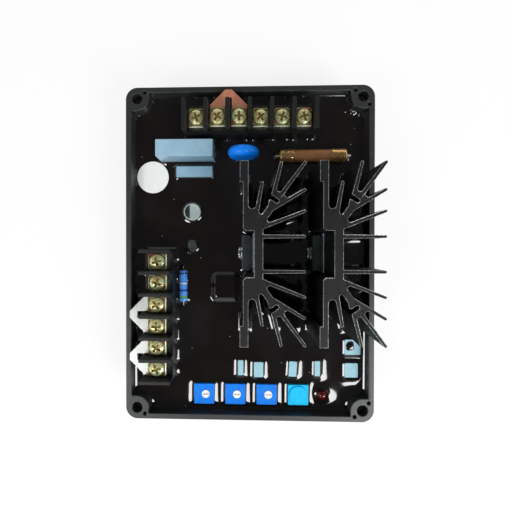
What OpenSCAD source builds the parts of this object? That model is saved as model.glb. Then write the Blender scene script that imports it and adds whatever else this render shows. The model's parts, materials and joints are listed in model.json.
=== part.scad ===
// Potted automatic voltage regulator for a generator.
// An open tray holds a circuit board cast in resin. Two finned heat sinks, two
// rows of screw terminals, a fuse, capacitors, trimmers and a lamp stand out of it.
// Millimetres. +Z is up from the mounting face, +Y runs towards the upper terminals,
// and the origin is the centre of the mounting face.

/* [Tray] */
// Outside width of the tray, along X
case_w = 113; // [112:0.5:126]
// Outside length of the tray, along Y
case_l = 152; // [150:0.5:170]
// Height of the tray's rim above the mounting face
case_h = 26; // [22:0.5:28]
// Thickness of the tray's side walls
wall = 2.6; // [2:0.1:3.2]
// Thickness of the tray's floor
floor_t = 3; // [2:0.1:5]
// Radius of the tray's outer corners
corner_r = 5.5; // [3:0.1:7]
// Distance from the outer faces to the mounting holes
hole_inset = 5.2; // [4.5:0.1:6]
// Diameter of the mounting holes
hole_d = 4.8; // [4:0.1:5.5]
// Radius of the corner posts round the mounting holes
post_r = 5.4; // [4.6:0.1:6.5]
// Diameter of the peg holes in the rim
peg_d = 1.6; // [1:0.1:2]
// Depth of the peg holes
peg_depth = 4; // [2:0.5:8]
// Distance from a mounting hole to each peg hole beside it
peg_step = 3.5; // [3.3:0.1:4]
// Distance from the outer faces to the peg holes
peg_inset = 2.4; // [1.6:0.1:3]

/* [Circuit board] */
// Thickness of the board
board_t = 1.6; // [1:0.1:2.4]
// Height of the board's underside above the tray floor
standoff_h = 5.4; // [3:0.1:8]
// Diameter of the moulded standoffs
standoff_d = 6; // [4:0.5:8]
// Distance from the inner walls to the standoffs, along X and Y
standoff_inset = [6, 11.5];
// Gap between the board's edge and the tray
board_gap = 1; // [0.5:0.1:2]
// Diameter of the thin component leads
lead_d = 0.6; // [0.4:0.05:0.8]
// Diameter of the pins that carry current
pin_d = 1.2; // [0.8:0.1:1.6]
// Pitch of the leads of the transistor and the lamp
lead_pitch = 1.27; // [1:0.01:1.5]
// Length that a lead runs into its body
lead_bite = 1; // [0.5:0.1:2]
// Radial clearance of leads and pins in the board
lead_gap = 0.05; // [0.02:0.01:0.1]

/* [Resin] */
// Depth of the resin above the board
resin_depth = 9.5; // [8:0.1:10.5]
// Height of the resin's rise over the buried module
bump_h = 1.5; // [0.5:0.1:3]
// Width of the resin's slope round the buried module
bump_slope = 1.3; // [0.5:0.1:2]
// Thickness of resin over the buried module
bump_skin = 0.5; // [0.2:0.1:1]
// Footprint of the buried module
module_size = [8.6, 9.6];
// Distances from the left heat sink's seat and the tray's middle to the buried module
module_inset = [13.2, 15.6];
// Distances from the buried module's middle to its leads
module_leads = [2.5, 3.8];

/* [Heat sinks] */
// Length of the extrusion, which stands on end on the board
sink_h = 40; // [30:0.5:50]
// Distance between the two heat sinks
sink_spacing = 30.8; // [30.5:0.1:36]
// Gap between the fin tips and the tray wall
sink_wall_gap = 1.15; // [0.5:0.05:3]
// Distance of the heat sinks' middle from the tray's middle, along Y
sink_y = 0.5; // [-2:0.1:2]
// Half length of the spine
spine_half = 36.1; // [34:0.1:38]
// Reach of the fins from the seat
fin_reach = 19.8; // [18:0.1:24]
// Thickness of the seat behind the power device
seat_t = 3.4; // [2.5:0.1:4.5]
// Half width of the notch for the power device
notch_half = 9.1; // [8.5:0.1:10]
// Depth of the notch from the spine's back
notch_depth = 4.3; // [3.5:0.1:5.5]
// Thickness of the side legs
leg_t = 2; // [1.5:0.1:3]
// Extra thickness of the leg ends
leg_pad = 1.25; // [0.5:0.05:2]
// Length of the thick leg ends
leg_pad_l = 8.2; // [4:0.1:12]
// Thickness of the fins at their root
fin_t = 1.5; // [1.2:0.05:1.7]
// Thickness of the fins at their tip
fin_tip_t = 1.1; // [0.8:0.05:1.4]
// Diameter of the open screw channel, which also takes the solder pin
channel_d = 1.7; // [1.4:0.1:2]
// Radial play of the solder pin in the channel
sink_pin_gap = 0.1; // [0.05:0.05:0.2]
// Length of the solder pin inside the channel
sink_pin_l = 9; // [4:0.5:20]

/* [Power devices] */
// Width of a device
device_w = 15.6; // [14:0.1:16.2]
// Height of a device
device_h = 20; // [16:0.1:22]
// Thickness of the moulded body
device_body_t = 3.3; // [2.5:0.1:4]
// Thickness of the metal tab
device_tab_t = 1.3; // [1:0.1:2]
// Width of the metal tab
device_tab_w = 13.6; // [10:0.1:15]
// Thickness of the insulating pad
pad_t = 0.3; // [0.2:0.05:0.5]
// Width of the insulating pad
pad_w = 17.4; // [16.4:0.1:18]
// Height of the device above the board
device_lift = 0.3; // [0.1:0.1:1]
// Distance from the device's top to its fixing hole
device_hole_drop = 5.4; // [4.5:0.1:7]
// Diameter of the fixing screw
fix_d = 3; // [2.5:0.1:3.2]
// Radial clearance of the fixing screw in the device and in the washer
fix_gaps = [0.3, 0.2];
// Diameter of the fixing screw's head
fix_head_d = 5.6; // [4.5:0.1:6]
// Height of the fixing screw's head
fix_head_h = 2; // [1.5:0.1:2.5]
// Thickness of the flat washer
fix_washer_t = 0.5; // [0.3:0.05:0.8]
// Diameter of the flat washer
fix_washer_d = 7; // [6:0.1:8]
// Pitch of the device's leads
device_pitch = 5.4; // [4:0.1:6]

/* [Screw terminals] */
// Distance between terminals
pitch = 9.5; // [9.5:0.05:9.8]
// Terminals in each row
ways = 6; // [6:1:6]
// Height of the terminal deck above the board
deck_h = 18.5; // [17.5:0.1:20]
// Height of the barriers above the deck
barrier_h = 7.5; // [6:0.1:9]
// Thickness of the barriers at their foot
barrier_t = 1.9; // [1.6:0.1:2.1]
// Thickness of the barriers at their top
barrier_top_t = 1.5; // [1:0.1:1.6]
// Depth of the barriers, from the inner face outwards
barrier_depth = 13.6; // [13:0.1:15]
// Depth of the deck, from the inner face outwards
deck_depth = 12.6; // [12.1:0.1:13]
// Distance from the inner face to the screws
screw_reach = 6.8; // [6.5:0.1:7]
// Distance from the tray's wall to a block's inner face
block_reach = 19.9; // [19.6:0.1:21]
// Place of the upper block's middle along X
upper_block_x = 0.4; // [-2:0.1:2]
// Place of the side block's middle along Y
side_block_y = -27.2; // [-28:0.1:-26]
// Height of the ridge along the inner edge of the deck
ridge_h = 1; // [0.5:0.1:1.5]
// Thickness of that ridge
ridge_t = 1.2; // [0.8:0.1:1.6]
// Thickness of the terminal plates
plate_t = 0.8; // [0.5:0.1:1.2]
// Distance from the inner face to the plates' tails
tail_reach = 2.4; // [2:0.1:3]
// Width of the terminal plates
plate_w = 7; // [6:0.1:7.2]
// Size of the clamp washers, across and along the wire
clamp_size = [7.2, 8.3];
// Thickness of the clamp washers
clamp_t = 1; // [0.6:0.1:1.4]
// Radius of the clamp washers' corners, and thickness of their turned ends
clamp_edge = 0.6; // [0.3:0.1:1]
// Height of the clamp washers' turned ends
clamp_lip = 0.5; // [0.2:0.1:1]
// Diameter of the terminal screws
screw_d = 4; // [3:0.1:4]
// Length of the terminal screws under the head
screw_l = 9; // [6:0.5:12]
// Diameter of the terminal screws' heads
screw_head_d = 6.4; // [5.5:0.1:6.6]
// Height of the terminal screws' heads
screw_head_h = 2.3; // [1.8:0.1:3]
// Radial clearance of the screws in what they pass through
screw_gap = 0.1; // [0.05:0.01:0.2]
// Thickness of the link plates
link_t = 1; // [0.6:0.1:1.2]
// Width of each leg of a link plate
link_leg = 7.2; // [6:0.1:7.2]
// Clearance between a link plate and the barrier in its slot
link_gap = 0.5; // [0.3:0.05:0.6]
// Width of a link plate's flat nose
link_nose = 2.9; // [2:0.1:4]
// Distance from the tray's wall to the link plates' noses
link_wall_gap = 0.4; // [0.3:0.1:2]
// Metal left between a link plate's slot and its nose
link_bridge = 3.5; // [2:0.1:4.5]

/* [Fuse] */
// Length over the end caps
fuse_l = 30; // [25:0.5:32]
// Diameter of the end caps
fuse_cap_d = 6.2; // [5.5:0.1:6.6]
// Length of the end caps
fuse_cap_l = 6.6; // [5:0.1:8]
// Thickness of the end caps
fuse_cap_t = 0.3; // [0.2:0.05:0.5]
// Height of the fuse's axis above the resin
fuse_lift = 4; // [3.6:0.1:6]
// Diameter of the fuse's leads
fuse_lead_d = 1; // [0.8:0.1:1.4]
// Distance from a cap to the bend of its lead
fuse_lead_reach = 1.8; // [1.2:0.1:2.5]
// Radius of the crimped groove round each cap
groove_r = 0.6; // [0.4:0.1:1]
// Depth of that groove
groove_depth = 0.15; // [0.05:0.05:0.2]
// Distance from the right inner wall to the fuse's middle
fuse_inset = 24.8; // [24:0.1:26]
// Distance of the fuse from the middle of the gap between heat sinks and upper block
fuse_shift = -0.25; // [-0.5:0.05:0.5]

/* [Capacitors] */
// Large film capacitor: along X, along Y, above the board
film_large = [25.6, 7.6, 21];
// Distances from the left and upper inner walls to its middle
film_large_inset = [25.1, 26.3];
// Small film capacitor: along X, along Y, above the board
film_small = [17, 5, 12];
// Distances from the left and upper inner walls to its middle
film_small_inset = [28.4, 35.05];
// Distances between the leads of the large and the small film capacitor
film_pitches = [22.5, 15];
// Distance between the leads of the small box capacitors
box_pitch = 5; // [4:0.1:5]
// Distance between the leads of the electrolytic capacitor
can_pitch = 3.5; // [2.5:0.5:5]
// Radius of the moulded edges of box capacitors
box_r = 0.5; // [0.2:0.1:1]
// Footprints of the small box capacitors, from the left
box_sizes = [[2.6, 7.2], [4.4, 7.2], [3.7, 7.2], [2.6, 7.2], [6.2, 6.8], [7.4, 7.2]];
// Places of the first ones along X
box_x = [-3.8, 4.6, 20.6, 32];
// Distances from the right inner wall to the middles of the last ones
box_wall_gaps = [6.2, 5.6];
// Their places, as shares of the way from the heat sinks to the lower wall
box_shares = [0.479, 0.5, 0.487, 0.479, 0.495, 0.209];
// Their turns in degrees
box_turns = [0, 0, -3, 0, 0, 0];
// Height of the small box capacitors above the board
box_h = 10.9; // [10.8:0.1:14]
// Diameter of the electrolytic capacitor
can_d = 8; // [6.3:0.1:9]
// Height of the electrolytic capacitor above the board
can_h = 12.2; // [11:0.1:16]
// Radius of its rolled top edge
can_r = 0.7; // [0.3:0.1:1]
// Thickness of its rim round the recessed end
can_rim = 0.6; // [0.3:0.1:1]
// Depth of that recess
can_recess = 0.25; // [0.1:0.05:0.5]
// Distance from the left inner wall to its middle
can_inset = 27.4; // [24:0.1:28]
// Place of its middle along Y
can_y = 19.5; // [18:0.1:21]

/* [Surge disc] */
// Diameter of the disc
disc_d = 14; // [12:0.5:15]
// Thickness of the disc
disc_t = 5; // [4:0.1:6]
// Height of the disc's lowest point above the resin
disc_lift = 0.4; // [0.2:0.1:2]
// Distance between its leads
disc_pitch = 7.5; // [5:0.5:9]
// Place of the disc along X
disc_x = -2.5; // [-4:0.1:-1]
// Distance of the disc from the middle of the gap between heat sinks and upper block
disc_shift = 0.55; // [-1:0.05:1]

/* [Resistor and transistor] */
// Length of the resistor's body
res_l = 14.8; // [12:0.1:15]
// Diameter of the resistor's body
res_d = 3.9; // [3:0.1:4.2]
// Diameter of its swollen ends
res_end_d = 4.3; // [3.5:0.1:4.5]
// Length of its swollen ends
res_end_l = 2.6; // [2:0.1:4]
// Height of its axis above the resin
res_lift = 0.6; // [0.2:0.1:2]
// Distance from its ends to the bends of its leads
res_lead_reach = 1.6; // [1:0.1:2]
// Distance from the left inner wall to its middle
res_inset = 22.9; // [22.5:0.1:24]
// Place of its middle along Y
res_y = -15.3; // [-17:0.1:-14]
// Diameter of the transistor's round side
transistor_d = 4.6; // [4:0.1:5]
// Distance from the transistor's axis to its flat side
transistor_flat = 1.25; // [1:0.05:1.5]
// Height of the transistor's body
transistor_h = 4.8; // [4:0.1:5.5]
// Height of the transistor above the resin
transistor_proud = 2; // [1:0.1:3]
// Distance from the left inner wall to the transistor's axis
transistor_inset = 27.3; // [26:0.1:28]
// Place of the transistor's axis along Y
transistor_y = 3.5; // [2:0.1:5]

/* [Trimmers and lamp] */
// Side of a trimmer's square body
trimmer_w = 9.5; // [8:0.1:10]
// Height of a trimmer's body
trimmer_h = 5; // [4:0.1:6]
// Height of the trimmers above the resin
trimmer_proud = 2.1; // [1:0.1:3]
// Distance from a trimmer's middle to its leads
trimmer_lead = 2.5; // [2:0.1:3]
// Distance between trimmers
trimmer_pitch = 14.65; // [12:0.05:15]
// Place of the first trimmer along X
trimmer_x = -20.9; // [-24:0.1:-20]
// Place of the trimmers' middle, as a share of the way from the heat sinks to the lower wall
trimmer_share = 0.8016; // [0.79:0.0001:0.82]
// Diameter of the rotors
rotor_d = 3.7; // [3:0.1:5]
// Distance of the rotors from the middle of their bodies, along X
rotor_shift = 0.75; // [0:0.05:1.2]
// Height of a rotor inside its body
rotor_seat = 2.2; // [1.5:0.1:3]
// Height of a rotor above its body
rotor_proud = 0.25; // [0:0.05:0.6]
// Radial clearance of a rotor
rotor_gap = 0.06; // [0.02:0.01:0.1]
// Width of a rotor's driver slot
rotor_slot = 0.7; // [0.5:0.05:1]
// Depth of a rotor's driver slot
rotor_slot_depth = 0.9; // [0.5:0.05:1.5]
// Diameter of the sealing disc on the fourth trimmer
seal_d = 8.4; // [6:0.1:9]
// Thickness of the sealing disc
seal_t = 0.5; // [0.3:0.1:1]
// Diameter of the lamp's dome
lamp_d = 5; // [3:0.1:5.5]
// Height of the lamp's dome above the resin
lamp_proud = 2.9; // [2:0.1:4]
// Width and height of the lamp's flange
lamp_flange = [0.4, 1];
// Height of the lamp from its flange to its tip
lamp_h = 7; // [5:0.1:9]
// Place of the lamp, as a share of the way from the last trimmer to the right inner wall
lamp_share = 0.249; // [0.2:0.001:0.3]

/* [Label] */
// Diameter of the round label
label_d = 15; // [10:0.5:15]
// Thickness of the label
label_t = 0.15; // [0.1:0.05:0.3]
// Distances from the left and upper inner walls to its middle
label_inset = [8.3, 37.3];

/* [Hidden] */
$fn = 48;

// Colours of the finishes
moulded_black = [0.2, 0.21, 0.22];
resin_black = [0.08, 0.06, 0.05];
board_green = [0.1, 0.3, 0.15];
anodised = [0.17, 0.17, 0.18];
tin = [0.8, 0.8, 0.78];
zinc_yellow = [0.78, 0.7, 0.45];
copper = [0.75, 0.43, 0.32];
brass = [0.8, 0.62, 0.32];
film_blue = [0.57, 0.7, 0.78];
box_blue = [0.65, 0.82, 0.88];
trimmer_blue = [0.08, 0.45, 0.95];
seal_cyan = [0, 0.72, 0.98];

// Inner faces of the tray
in_x = case_w / 2 - wall;
in_y = case_l / 2 - wall;
// Levels above the mounting face
board_z = floor_t + standoff_h;
board_top = board_z + board_t;
resin_z = board_top + resin_depth;
deck_z = board_top + deck_h;

// Mounting holes
hole_x = case_w / 2 - hole_inset;
hole_y = case_l / 2 - hole_inset;

// Middle of the gap between heat sinks and upper block, and the zone below the heat sinks
gap_y = (sink_y + spine_half + in_y - block_reach) / 2;
low_end = sink_y - spine_half;
function low_y(share) = low_end - share * (low_end + in_y);

// Middles of the pieces, tied to the walls that they stand by
seat_right = in_x - sink_wall_gap - fin_reach;
seat_left = seat_right - sink_spacing;
fuse_at = [in_x - fuse_inset, gap_y + fuse_shift];
film_large_at = [film_large_inset[0] - in_x, in_y - film_large_inset[1]];
film_small_at = [film_small_inset[0] - in_x, in_y - film_small_inset[1]];
can_at = [can_inset - in_x, can_y];
disc_at = [disc_x, gap_y + disc_shift];
res_at = [res_inset - in_x, res_y];
transistor_at = [transistor_inset - in_x, transistor_y];
label_at = [label_inset[0] - in_x, in_y - label_inset[1]];
module_at = [seat_left - module_inset[0], -module_inset[1]];
function trimmer_at(i) = [trimmer_x + i * trimmer_pitch, low_y(trimmer_share)];
function rotor_at(i) = trimmer_at(i) + [rotor_shift, 0];
trimmer_edge = trimmer_at(3)[0] + trimmer_w / 2;
lamp_at = [trimmer_edge + lamp_share * (in_x - trimmer_edge), low_y(trimmer_share)];

// Small box capacitors: middle, footprint, turn in degrees, lead direction along X or Y
box_caps = [for (i = [0:len(box_sizes) - 1]) [
    [i < len(box_x) ? box_x[i] : in_x - box_wall_gaps[i - len(box_x)], low_y(box_shares[i])],
    box_sizes[i], box_turns[i], i < len(box_x) ? [0, 1] : [1, 0]]];

// Middle of the screw channel, from the seat and the middle of the extrusion
channel_at = [8.7, 20.5];

// Heights of the fuse, the resistor and the fixing screws
fuse_z = resin_z + fuse_lift;
res_z = resin_z + res_lift;
fix_z = board_top + device_lift + device_h - device_hole_drop;
trimmer_top = resin_z + trimmer_proud;
module_top = resin_z + bump_h - bump_skin;

// Terminals that a link plate joins, and the barriers that the links straddle
upper_linked = [1, 2];
side_linked = [0, 1, 2, 3];
upper_link_barrier = 2;
side_link_barriers = [3, 1];
block_l = ways * pitch + barrier_t;
terminal_hole_d = screw_d + 2 * screw_gap;
plate_l = screw_reach + clamp_size[1] / 2 - clamp_edge - ridge_t;
function terminal_x(i) = (i - (ways - 1) / 2) * pitch;
function barrier_x(i) = (i - ways / 2) * pitch;
function is_in(i, list) = len([for (v = list) if (v == i) v]) > 0;

// Lead places on the board
lead_rows = [
    for (x = [-1, 1]) film_large_at + [x * film_pitches[0] / 2, 0],
    for (x = [-1, 1]) film_small_at + [x * film_pitches[1] / 2, 0],
    for (x = [-1, 1]) can_at + [x * can_pitch / 2, 0],
    for (b = box_caps) for (s = [-1, 1]) b[0] + s * box_pitch / 2 * b[3],
    for (x = [-1, 1]) disc_at + [x * disc_pitch / 2, 0],
    for (y = [-1, 1]) res_at + [0, y * (res_l / 2 + res_lead_reach)],
    for (y = [-1, 0, 1]) transistor_at + [0, y * lead_pitch],
    for (i = [0:3]) for (y = [-1, 0, 1]) trimmer_at(i) + trimmer_lead * [y, y == 0 ? 1 : 0],
    for (x = [-1, 1]) lamp_at + [x * lead_pitch, 0],
    for (x = [-1, 1]) for (y = [-1, 1]) module_at + [x * module_leads[0], y * module_leads[1]]];
function device_lead(seat, k) =
    [seat - pad_t - device_tab_t - device_body_t / 2, sink_y + k * device_pitch];
function sink_pin(seat, side) = [seat + channel_at[0], sink_y + side * channel_at[1]];
pin_rows = [
    for (seat = [seat_left, seat_right]) for (k = [-1, 0, 1]) device_lead(seat, k),
    for (i = [0:ways - 1]) [upper_block_x + terminal_x(i), in_y - block_reach + tail_reach],
    for (i = [0:ways - 1]) [block_reach - tail_reach - in_x, side_block_y + terminal_x(i)]];
sink_pin_d = channel_d - 2 * sink_pin_gap;
sink_pin_rows = [for (seat = [seat_left, seat_right]) for (s = [-1, 1]) sink_pin(seat, s)];
fuse_lead_rows = [for (s = [-1, 1]) fuse_at + [s * (fuse_l / 2 + fuse_lead_reach), 0]];

// Rectangle with round corners, about its middle
module round_rect(size, r) {
    square([size[0] - 2 * r, size[1]], center = true);
    square([size[0], size[1] - 2 * r], center = true);
    for (x = [-1, 1]) for (y = [-1, 1])
        translate([x * (size[0] / 2 - r), y * (size[1] / 2 - r)]) circle(r);
}

// Straight lead from the board's underside up to a height
module lead(at, top, d) {
    translate([at[0], at[1], board_z]) cylinder(d = d, h = top - board_z);
}

// Outline of the tray's hollow: a rectangle less the four corner posts
module cavity_outline() {
    difference() {
        square([2 * in_x, 2 * in_y], center = true);
        for (x = [-1, 1]) for (y = [-1, 1]) translate([x * hole_x, y * hole_y]) {
            circle(post_r);
            translate([x > 0 ? 0 : -hole_inset, -post_r]) square([hole_inset, 2 * post_r]);
            translate([-post_r, y > 0 ? 0 : -hole_inset]) square([2 * post_r, hole_inset]);
        }
    }
}

// Moulded standoffs under the board
module standoffs() {
    for (x = [-1, 1]) for (y = [-1, 1])
        translate([x * (in_x - standoff_inset[0]), y * (in_y - standoff_inset[1]), floor_t])
            cylinder(d = standoff_d, h = standoff_h);
}

// Blind peg hole in the rim
module peg_hole(x, y) {
    translate([x, y, case_h - peg_depth]) cylinder(d = peg_d, h = peg_depth + 1);
}

module tray() {
    color(moulded_black) {
        difference() {
            linear_extrude(case_h) round_rect([case_w, case_l], corner_r);
            translate([0, 0, floor_t]) linear_extrude(case_h) cavity_outline();
            for (x = [-1, 1]) for (y = [-1, 1])
                translate([x * hole_x, y * hole_y, -1]) cylinder(d = hole_d, h = case_h + 2);
            for (x = [-1, 1]) for (y = [-1, 1])
                peg_hole(x * (hole_x - peg_step), y * (case_l / 2 - peg_inset));
            for (y = [-1, 1]) peg_hole(case_w / 2 - peg_inset, y * (hole_y - peg_step));
        }
        standoffs();
    }
}

// Board without its holes: a rectangle with square notches round the posts
module board_blank() {
    notch = hole_inset - wall + post_r + board_gap;
    translate([0, 0, board_z]) linear_extrude(board_t) difference() {
        square([2 * (in_x - board_gap), 2 * (in_y - board_gap)], center = true);
        for (x = [-1, 1]) for (y = [-1, 1])
            translate([x * in_x, y * in_y]) square(2 * notch, center = true);
    }
}

module drill(at, d) {
    translate([at[0], at[1], board_z - 1]) cylinder(d = d + 2 * lead_gap, h = board_t + 2);
}

module circuit_board() {
    color(board_green) difference() {
        board_blank();
        for (p = lead_rows) drill(p, lead_d);
        for (p = pin_rows) drill(p, pin_d);
        for (p = sink_pin_rows) drill(p, sink_pin_d);
        for (p = fuse_lead_rows) drill(p, fuse_lead_d);
    }
}

// Block whose four sides slope inwards, standing on the resin
module sloped_rise(size, h, slope) {
    intersection() {
        rotate([90, 0, 0]) linear_extrude(size[1] + 2 * slope, center = true)
            polygon([[-size[0] / 2 - slope, -h], [size[0] / 2 + slope, -h],
                [size[0] / 2 + slope, 0], [size[0] / 2, h], [-size[0] / 2, h], [-size[0] / 2 - slope, 0]]);
        rotate([90, 0, 90]) linear_extrude(size[0] + 2 * slope, center = true)
            polygon([[-size[1] / 2 - slope, -h], [size[1] / 2 + slope, -h],
                [size[1] / 2 + slope, 0], [size[1] / 2, h], [-size[1] / 2, h], [-size[1] / 2 - slope, 0]]);
    }
}

module potting_resin() {
    color(resin_black) difference() {
        union() {
            translate([0, 0, floor_t]) linear_extrude(resin_z - floor_t) cavity_outline();
            translate([module_at[0], module_at[1], resin_z])
                sloped_rise(module_size, bump_h, bump_slope);
        }
        standoffs();
        board_blank();
        buried_module();
        heat_sink_left();
        heat_sink_right();
        heat_sink_pins();
        power_device_left();
        power_device_right();
        device_tab_left();
        device_tab_right();
        insulating_pads();
        upper_block_body();
        side_block_body();
        fuse_leads();
        film_capacitor_large();
        film_capacitor_small();
        electrolytic_capacitor();
        for (i = [0:5]) box_capacitor(i);
        surge_disc();
        resistor_body();
        resistor_leads();
        transistor();
        for (i = [0:3]) trimmer_block(i);
        indicator_lamp();
    }
}

module buried_module() {
    color(moulded_black) {
        translate([module_at[0], module_at[1], board_top])
            linear_extrude(module_top - board_top) square(module_size, center = true);
        for (x = [-1, 1]) for (y = [-1, 1])
            lead(module_at + [x * module_leads[0], y * module_leads[1]], board_top + lead_bite, lead_d);
    }
}

// Fins of the upper half: middle of the root, middle of the tip, from the seat's middle
outer_tip = spine_half - 0.4;
fins = [
    [[seat_t - 1, 6.8], [fin_reach, 6.8]],
    [[2.6, 10.15], [fin_reach, 16.75]],
    [[6.8, 17.3], [fin_reach, 25]],
    [[9.9, 22.4], [fin_reach, outer_tip]],
    [[7.5, 23.6], [10.5, outer_tip]],
    [[1.2, 17.6], [3.1, 28]]];
// Sides of the branch that carries the outer fins, from its foot to its fork
branch_right = [[4.63, 13.24], [7.25, 16.75]];
branch_left = [[3.4, 15.95], [5.2, 18.5]];
// Points inside the fork, and along the lip of the screw channel
fork = [[10.6, 19.2], [10.6, 22.4], [9.2, 23.4], [7.6, 24]];
lip = [[6.9, 21.5], [6.8, 20.9], [5.7, 20.9]];
// Foot of the inner slot, inside the branch
inner_foot = [2.2, 14.5];
// Height and right end of the slot beside the leg, and the bevel of the notch's mouth
shoulder = 19;
leg_slot_end = 0.7;
notch_bevel = 1;
// Radii of the slot bottoms
outer_slot_r = 1.05;
inner_slot_r = 0.85;
low_slot_r = 1.25;
high_slot_r = 1.05;
seat_slot_r = 0.8;
// Round ends are this much larger than a true tangent, so that edges cross cleanly
crossing = 1.03;
// Angle of the screw channel's mouth, and the length that its cutter needs
mouth_angle = 145;
mouth_l = 4;

function unit(v) = v / norm(v);
function left_of(v) = [-v[1], v[0]];
// Edges of a fin, as a point and a direction; side is 1 on the left of its run and -1 on the right
function fin_run(f) = unit(fins[f][1] - fins[f][0]);
function edge_root(f, side) = fins[f][0] + left_of(fin_run(f)) * side * fin_t / 2;
function edge_tip(f, side) =
    fins[f][1] - fin_run(f) * fin_tip_t / 2 + left_of(fin_run(f)) * side * fin_tip_t / 2;
function edge_run(f, side) = unit(edge_tip(f, side) - edge_root(f, side));
function meet(p, d, q, e) = p + d * cross(q - p, e) / cross(d, e);

// Fin that tapers to a round tip
module fin(f) {
    polygon([edge_root(f, 1), edge_root(f, -1), edge_tip(f, -1), edge_tip(f, 1)]);
    translate(fins[f][1] - fin_run(f) * fin_tip_t / 2) circle(d = crossing * fin_tip_t);
}

// Round bottom of a slot between two edges that run away from their meeting point
module slot_bottom(p, d, q, e, r) {
    apex = meet(p, d, q, e);
    half = acos(d * e) / 2;
    reach = crossing * crossing * r / tan(half);
    away = unit(d + e);
    difference() {
        polygon([apex - away * 2 * r, apex + d * reach, apex + e * reach]);
        translate(apex + away * r / sin(half)) circle(crossing * r);
    }
}

// Slot bottom between the left edge of one fin and the right edge of the next
module fin_slot(a, b, r) {
    slot_bottom(edge_root(a, 1), edge_run(a, 1), edge_root(b, -1), edge_run(b, -1), r);
}

// Upper half of the extrusion's section. The seat faces -X at X = 0.
module half_section() {
    back = -notch_depth;
    leg_in = back + leg_t;
    leg_slot_r = (leg_slot_end - leg_in) / 2;
    difference() {
        union() {
            square([seat_t, shoulder / 2 + notch_half / 4]);
            polygon(concat([[back, notch_half + notch_bevel], [back + notch_bevel, notch_half],
                [seat_t - notch_bevel, notch_half]], branch_right, fork,
                [edge_root(4, 1), edge_root(4, 1) - edge_run(4, 1) * channel_d], lip,
                [branch_left[1], branch_left[0], inner_foot,
                edge_root(5, -1) - edge_run(5, -1) * inner_slot_r, edge_root(5, -1),
                [leg_slot_end, shoulder], [back, shoulder]]));
            translate([back, notch_half + notch_bevel])
                square([leg_t, spine_half - notch_half - notch_bevel]);
            translate([back - leg_pad, spine_half - leg_pad_l]) square([leg_pad + leg_t, leg_pad_l]);
            for (f = [0:len(fins) - 1]) fin(f);
            fin_slot(2, 3, low_slot_r);
            fin_slot(3, 4, high_slot_r);
            slot_bottom(edge_root(1, 1), edge_run(1, 1), branch_right[0],
                unit(branch_right[1] - branch_right[0]), outer_slot_r);
            slot_bottom(branch_left[0], unit(branch_left[1] - branch_left[0]), edge_root(5, -1),
                edge_run(5, -1), inner_slot_r);
            slot_bottom([seat_t, shoulder], [0, -1], edge_root(1, -1), edge_run(1, -1), seat_slot_r);
        }
        translate([leg_in + leg_slot_r, shoulder]) circle(leg_slot_r);
        // Screw channel, open towards the slot beside it
        translate(channel_at) {
            circle(d = channel_d);
            rotate(mouth_angle) translate([0, -channel_d / 2]) square([mouth_l, channel_d]);
        }
    }
}

module sink_section() {
    half_section();
    mirror([0, 1]) half_section();
}

module heat_sink(seat) {
    color(anodised) difference() {
        translate([seat, sink_y, board_top]) linear_extrude(sink_h) sink_section();
        translate([seat - 1, sink_y, fix_z]) rotate([0, 90, 0])
            cylinder(d = fix_d + 2 * lead_gap, h = seat_t + 2);
    }
}

module heat_sink_left() { heat_sink(seat_left); }
module heat_sink_right() { heat_sink(seat_right); }

module heat_sink_pins() {
    color(tin) for (p = sink_pin_rows) lead(p, board_top + sink_pin_l, sink_pin_d);
}

// Upright box that leans on the seat: its back lies at a distance from the seat
module seat_box(seat, back, t, w) {
    translate([seat - back - t, sink_y - w / 2, board_top + device_lift]) cube([t, w, device_h]);
}

// Hole along X for a fixing screw
module fix_hole(seat, d) {
    reach = device_body_t + device_tab_t + pad_t + fix_washer_t;
    translate([seat - reach, sink_y, fix_z]) rotate([0, 90, 0]) cylinder(d = d, h = reach);
}

module power_device(seat) {
    back = pad_t + device_tab_t;
    color(moulded_black) {
        difference() {
            seat_box(seat, back, device_body_t, device_w);
            fix_hole(seat, fix_d + 2 * fix_gaps[0]);
        }
        for (k = [-1, 0, 1]) lead(device_lead(seat, k), board_top + device_lift + lead_bite, pin_d);
    }
}

module device_tab(seat) {
    color(tin) difference() {
        seat_box(seat, pad_t, device_tab_t, device_tab_w);
        fix_hole(seat, fix_d + 2 * fix_gaps[0]);
    }
}

module power_device_left() { power_device(seat_left); }
module power_device_right() { power_device(seat_right); }
module device_tab_left() { device_tab(seat_left); }
module device_tab_right() { device_tab(seat_right); }

module insulating_pads() {
    color("gainsboro") for (seat = [seat_left, seat_right]) difference() {
        seat_box(seat, 0, pad_t, pad_w);
        fix_hole(seat, fix_d + 2 * fix_gaps[0]);
    }
}

// Domed screw head with a cross recess, standing on Z = 0
module cross_head(d, h) {
    dome = 0.35 * h;
    ball = (d * d / 4 + dome * dome) / (2 * dome);
    difference() {
        intersection() {
            cylinder(d = d, h = h);
            translate([0, 0, h - ball]) sphere(ball, $fn = 96);
        }
        for (a = [0, 90]) rotate(a) translate([-0.32 * d, -0.07 * d, h / 2])
            cube([0.64 * d, 0.14 * d, h]);
    }
}

// Face of a device that its washer bears on
function device_front(seat) = seat - pad_t - device_tab_t - device_body_t;

module fixing_screws() {
    color(tin) for (seat = [seat_left, seat_right])
        translate([device_front(seat) - fix_washer_t, sink_y, fix_z]) rotate([0, -90, 0]) {
            cross_head(fix_head_d, fix_head_h);
            translate([0, 0, device_front(seat) - fix_washer_t - seat - seat_t])
                cylinder(d = fix_d, h = seat + seat_t - device_front(seat) + fix_washer_t + 0.1);
        }
}

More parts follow.
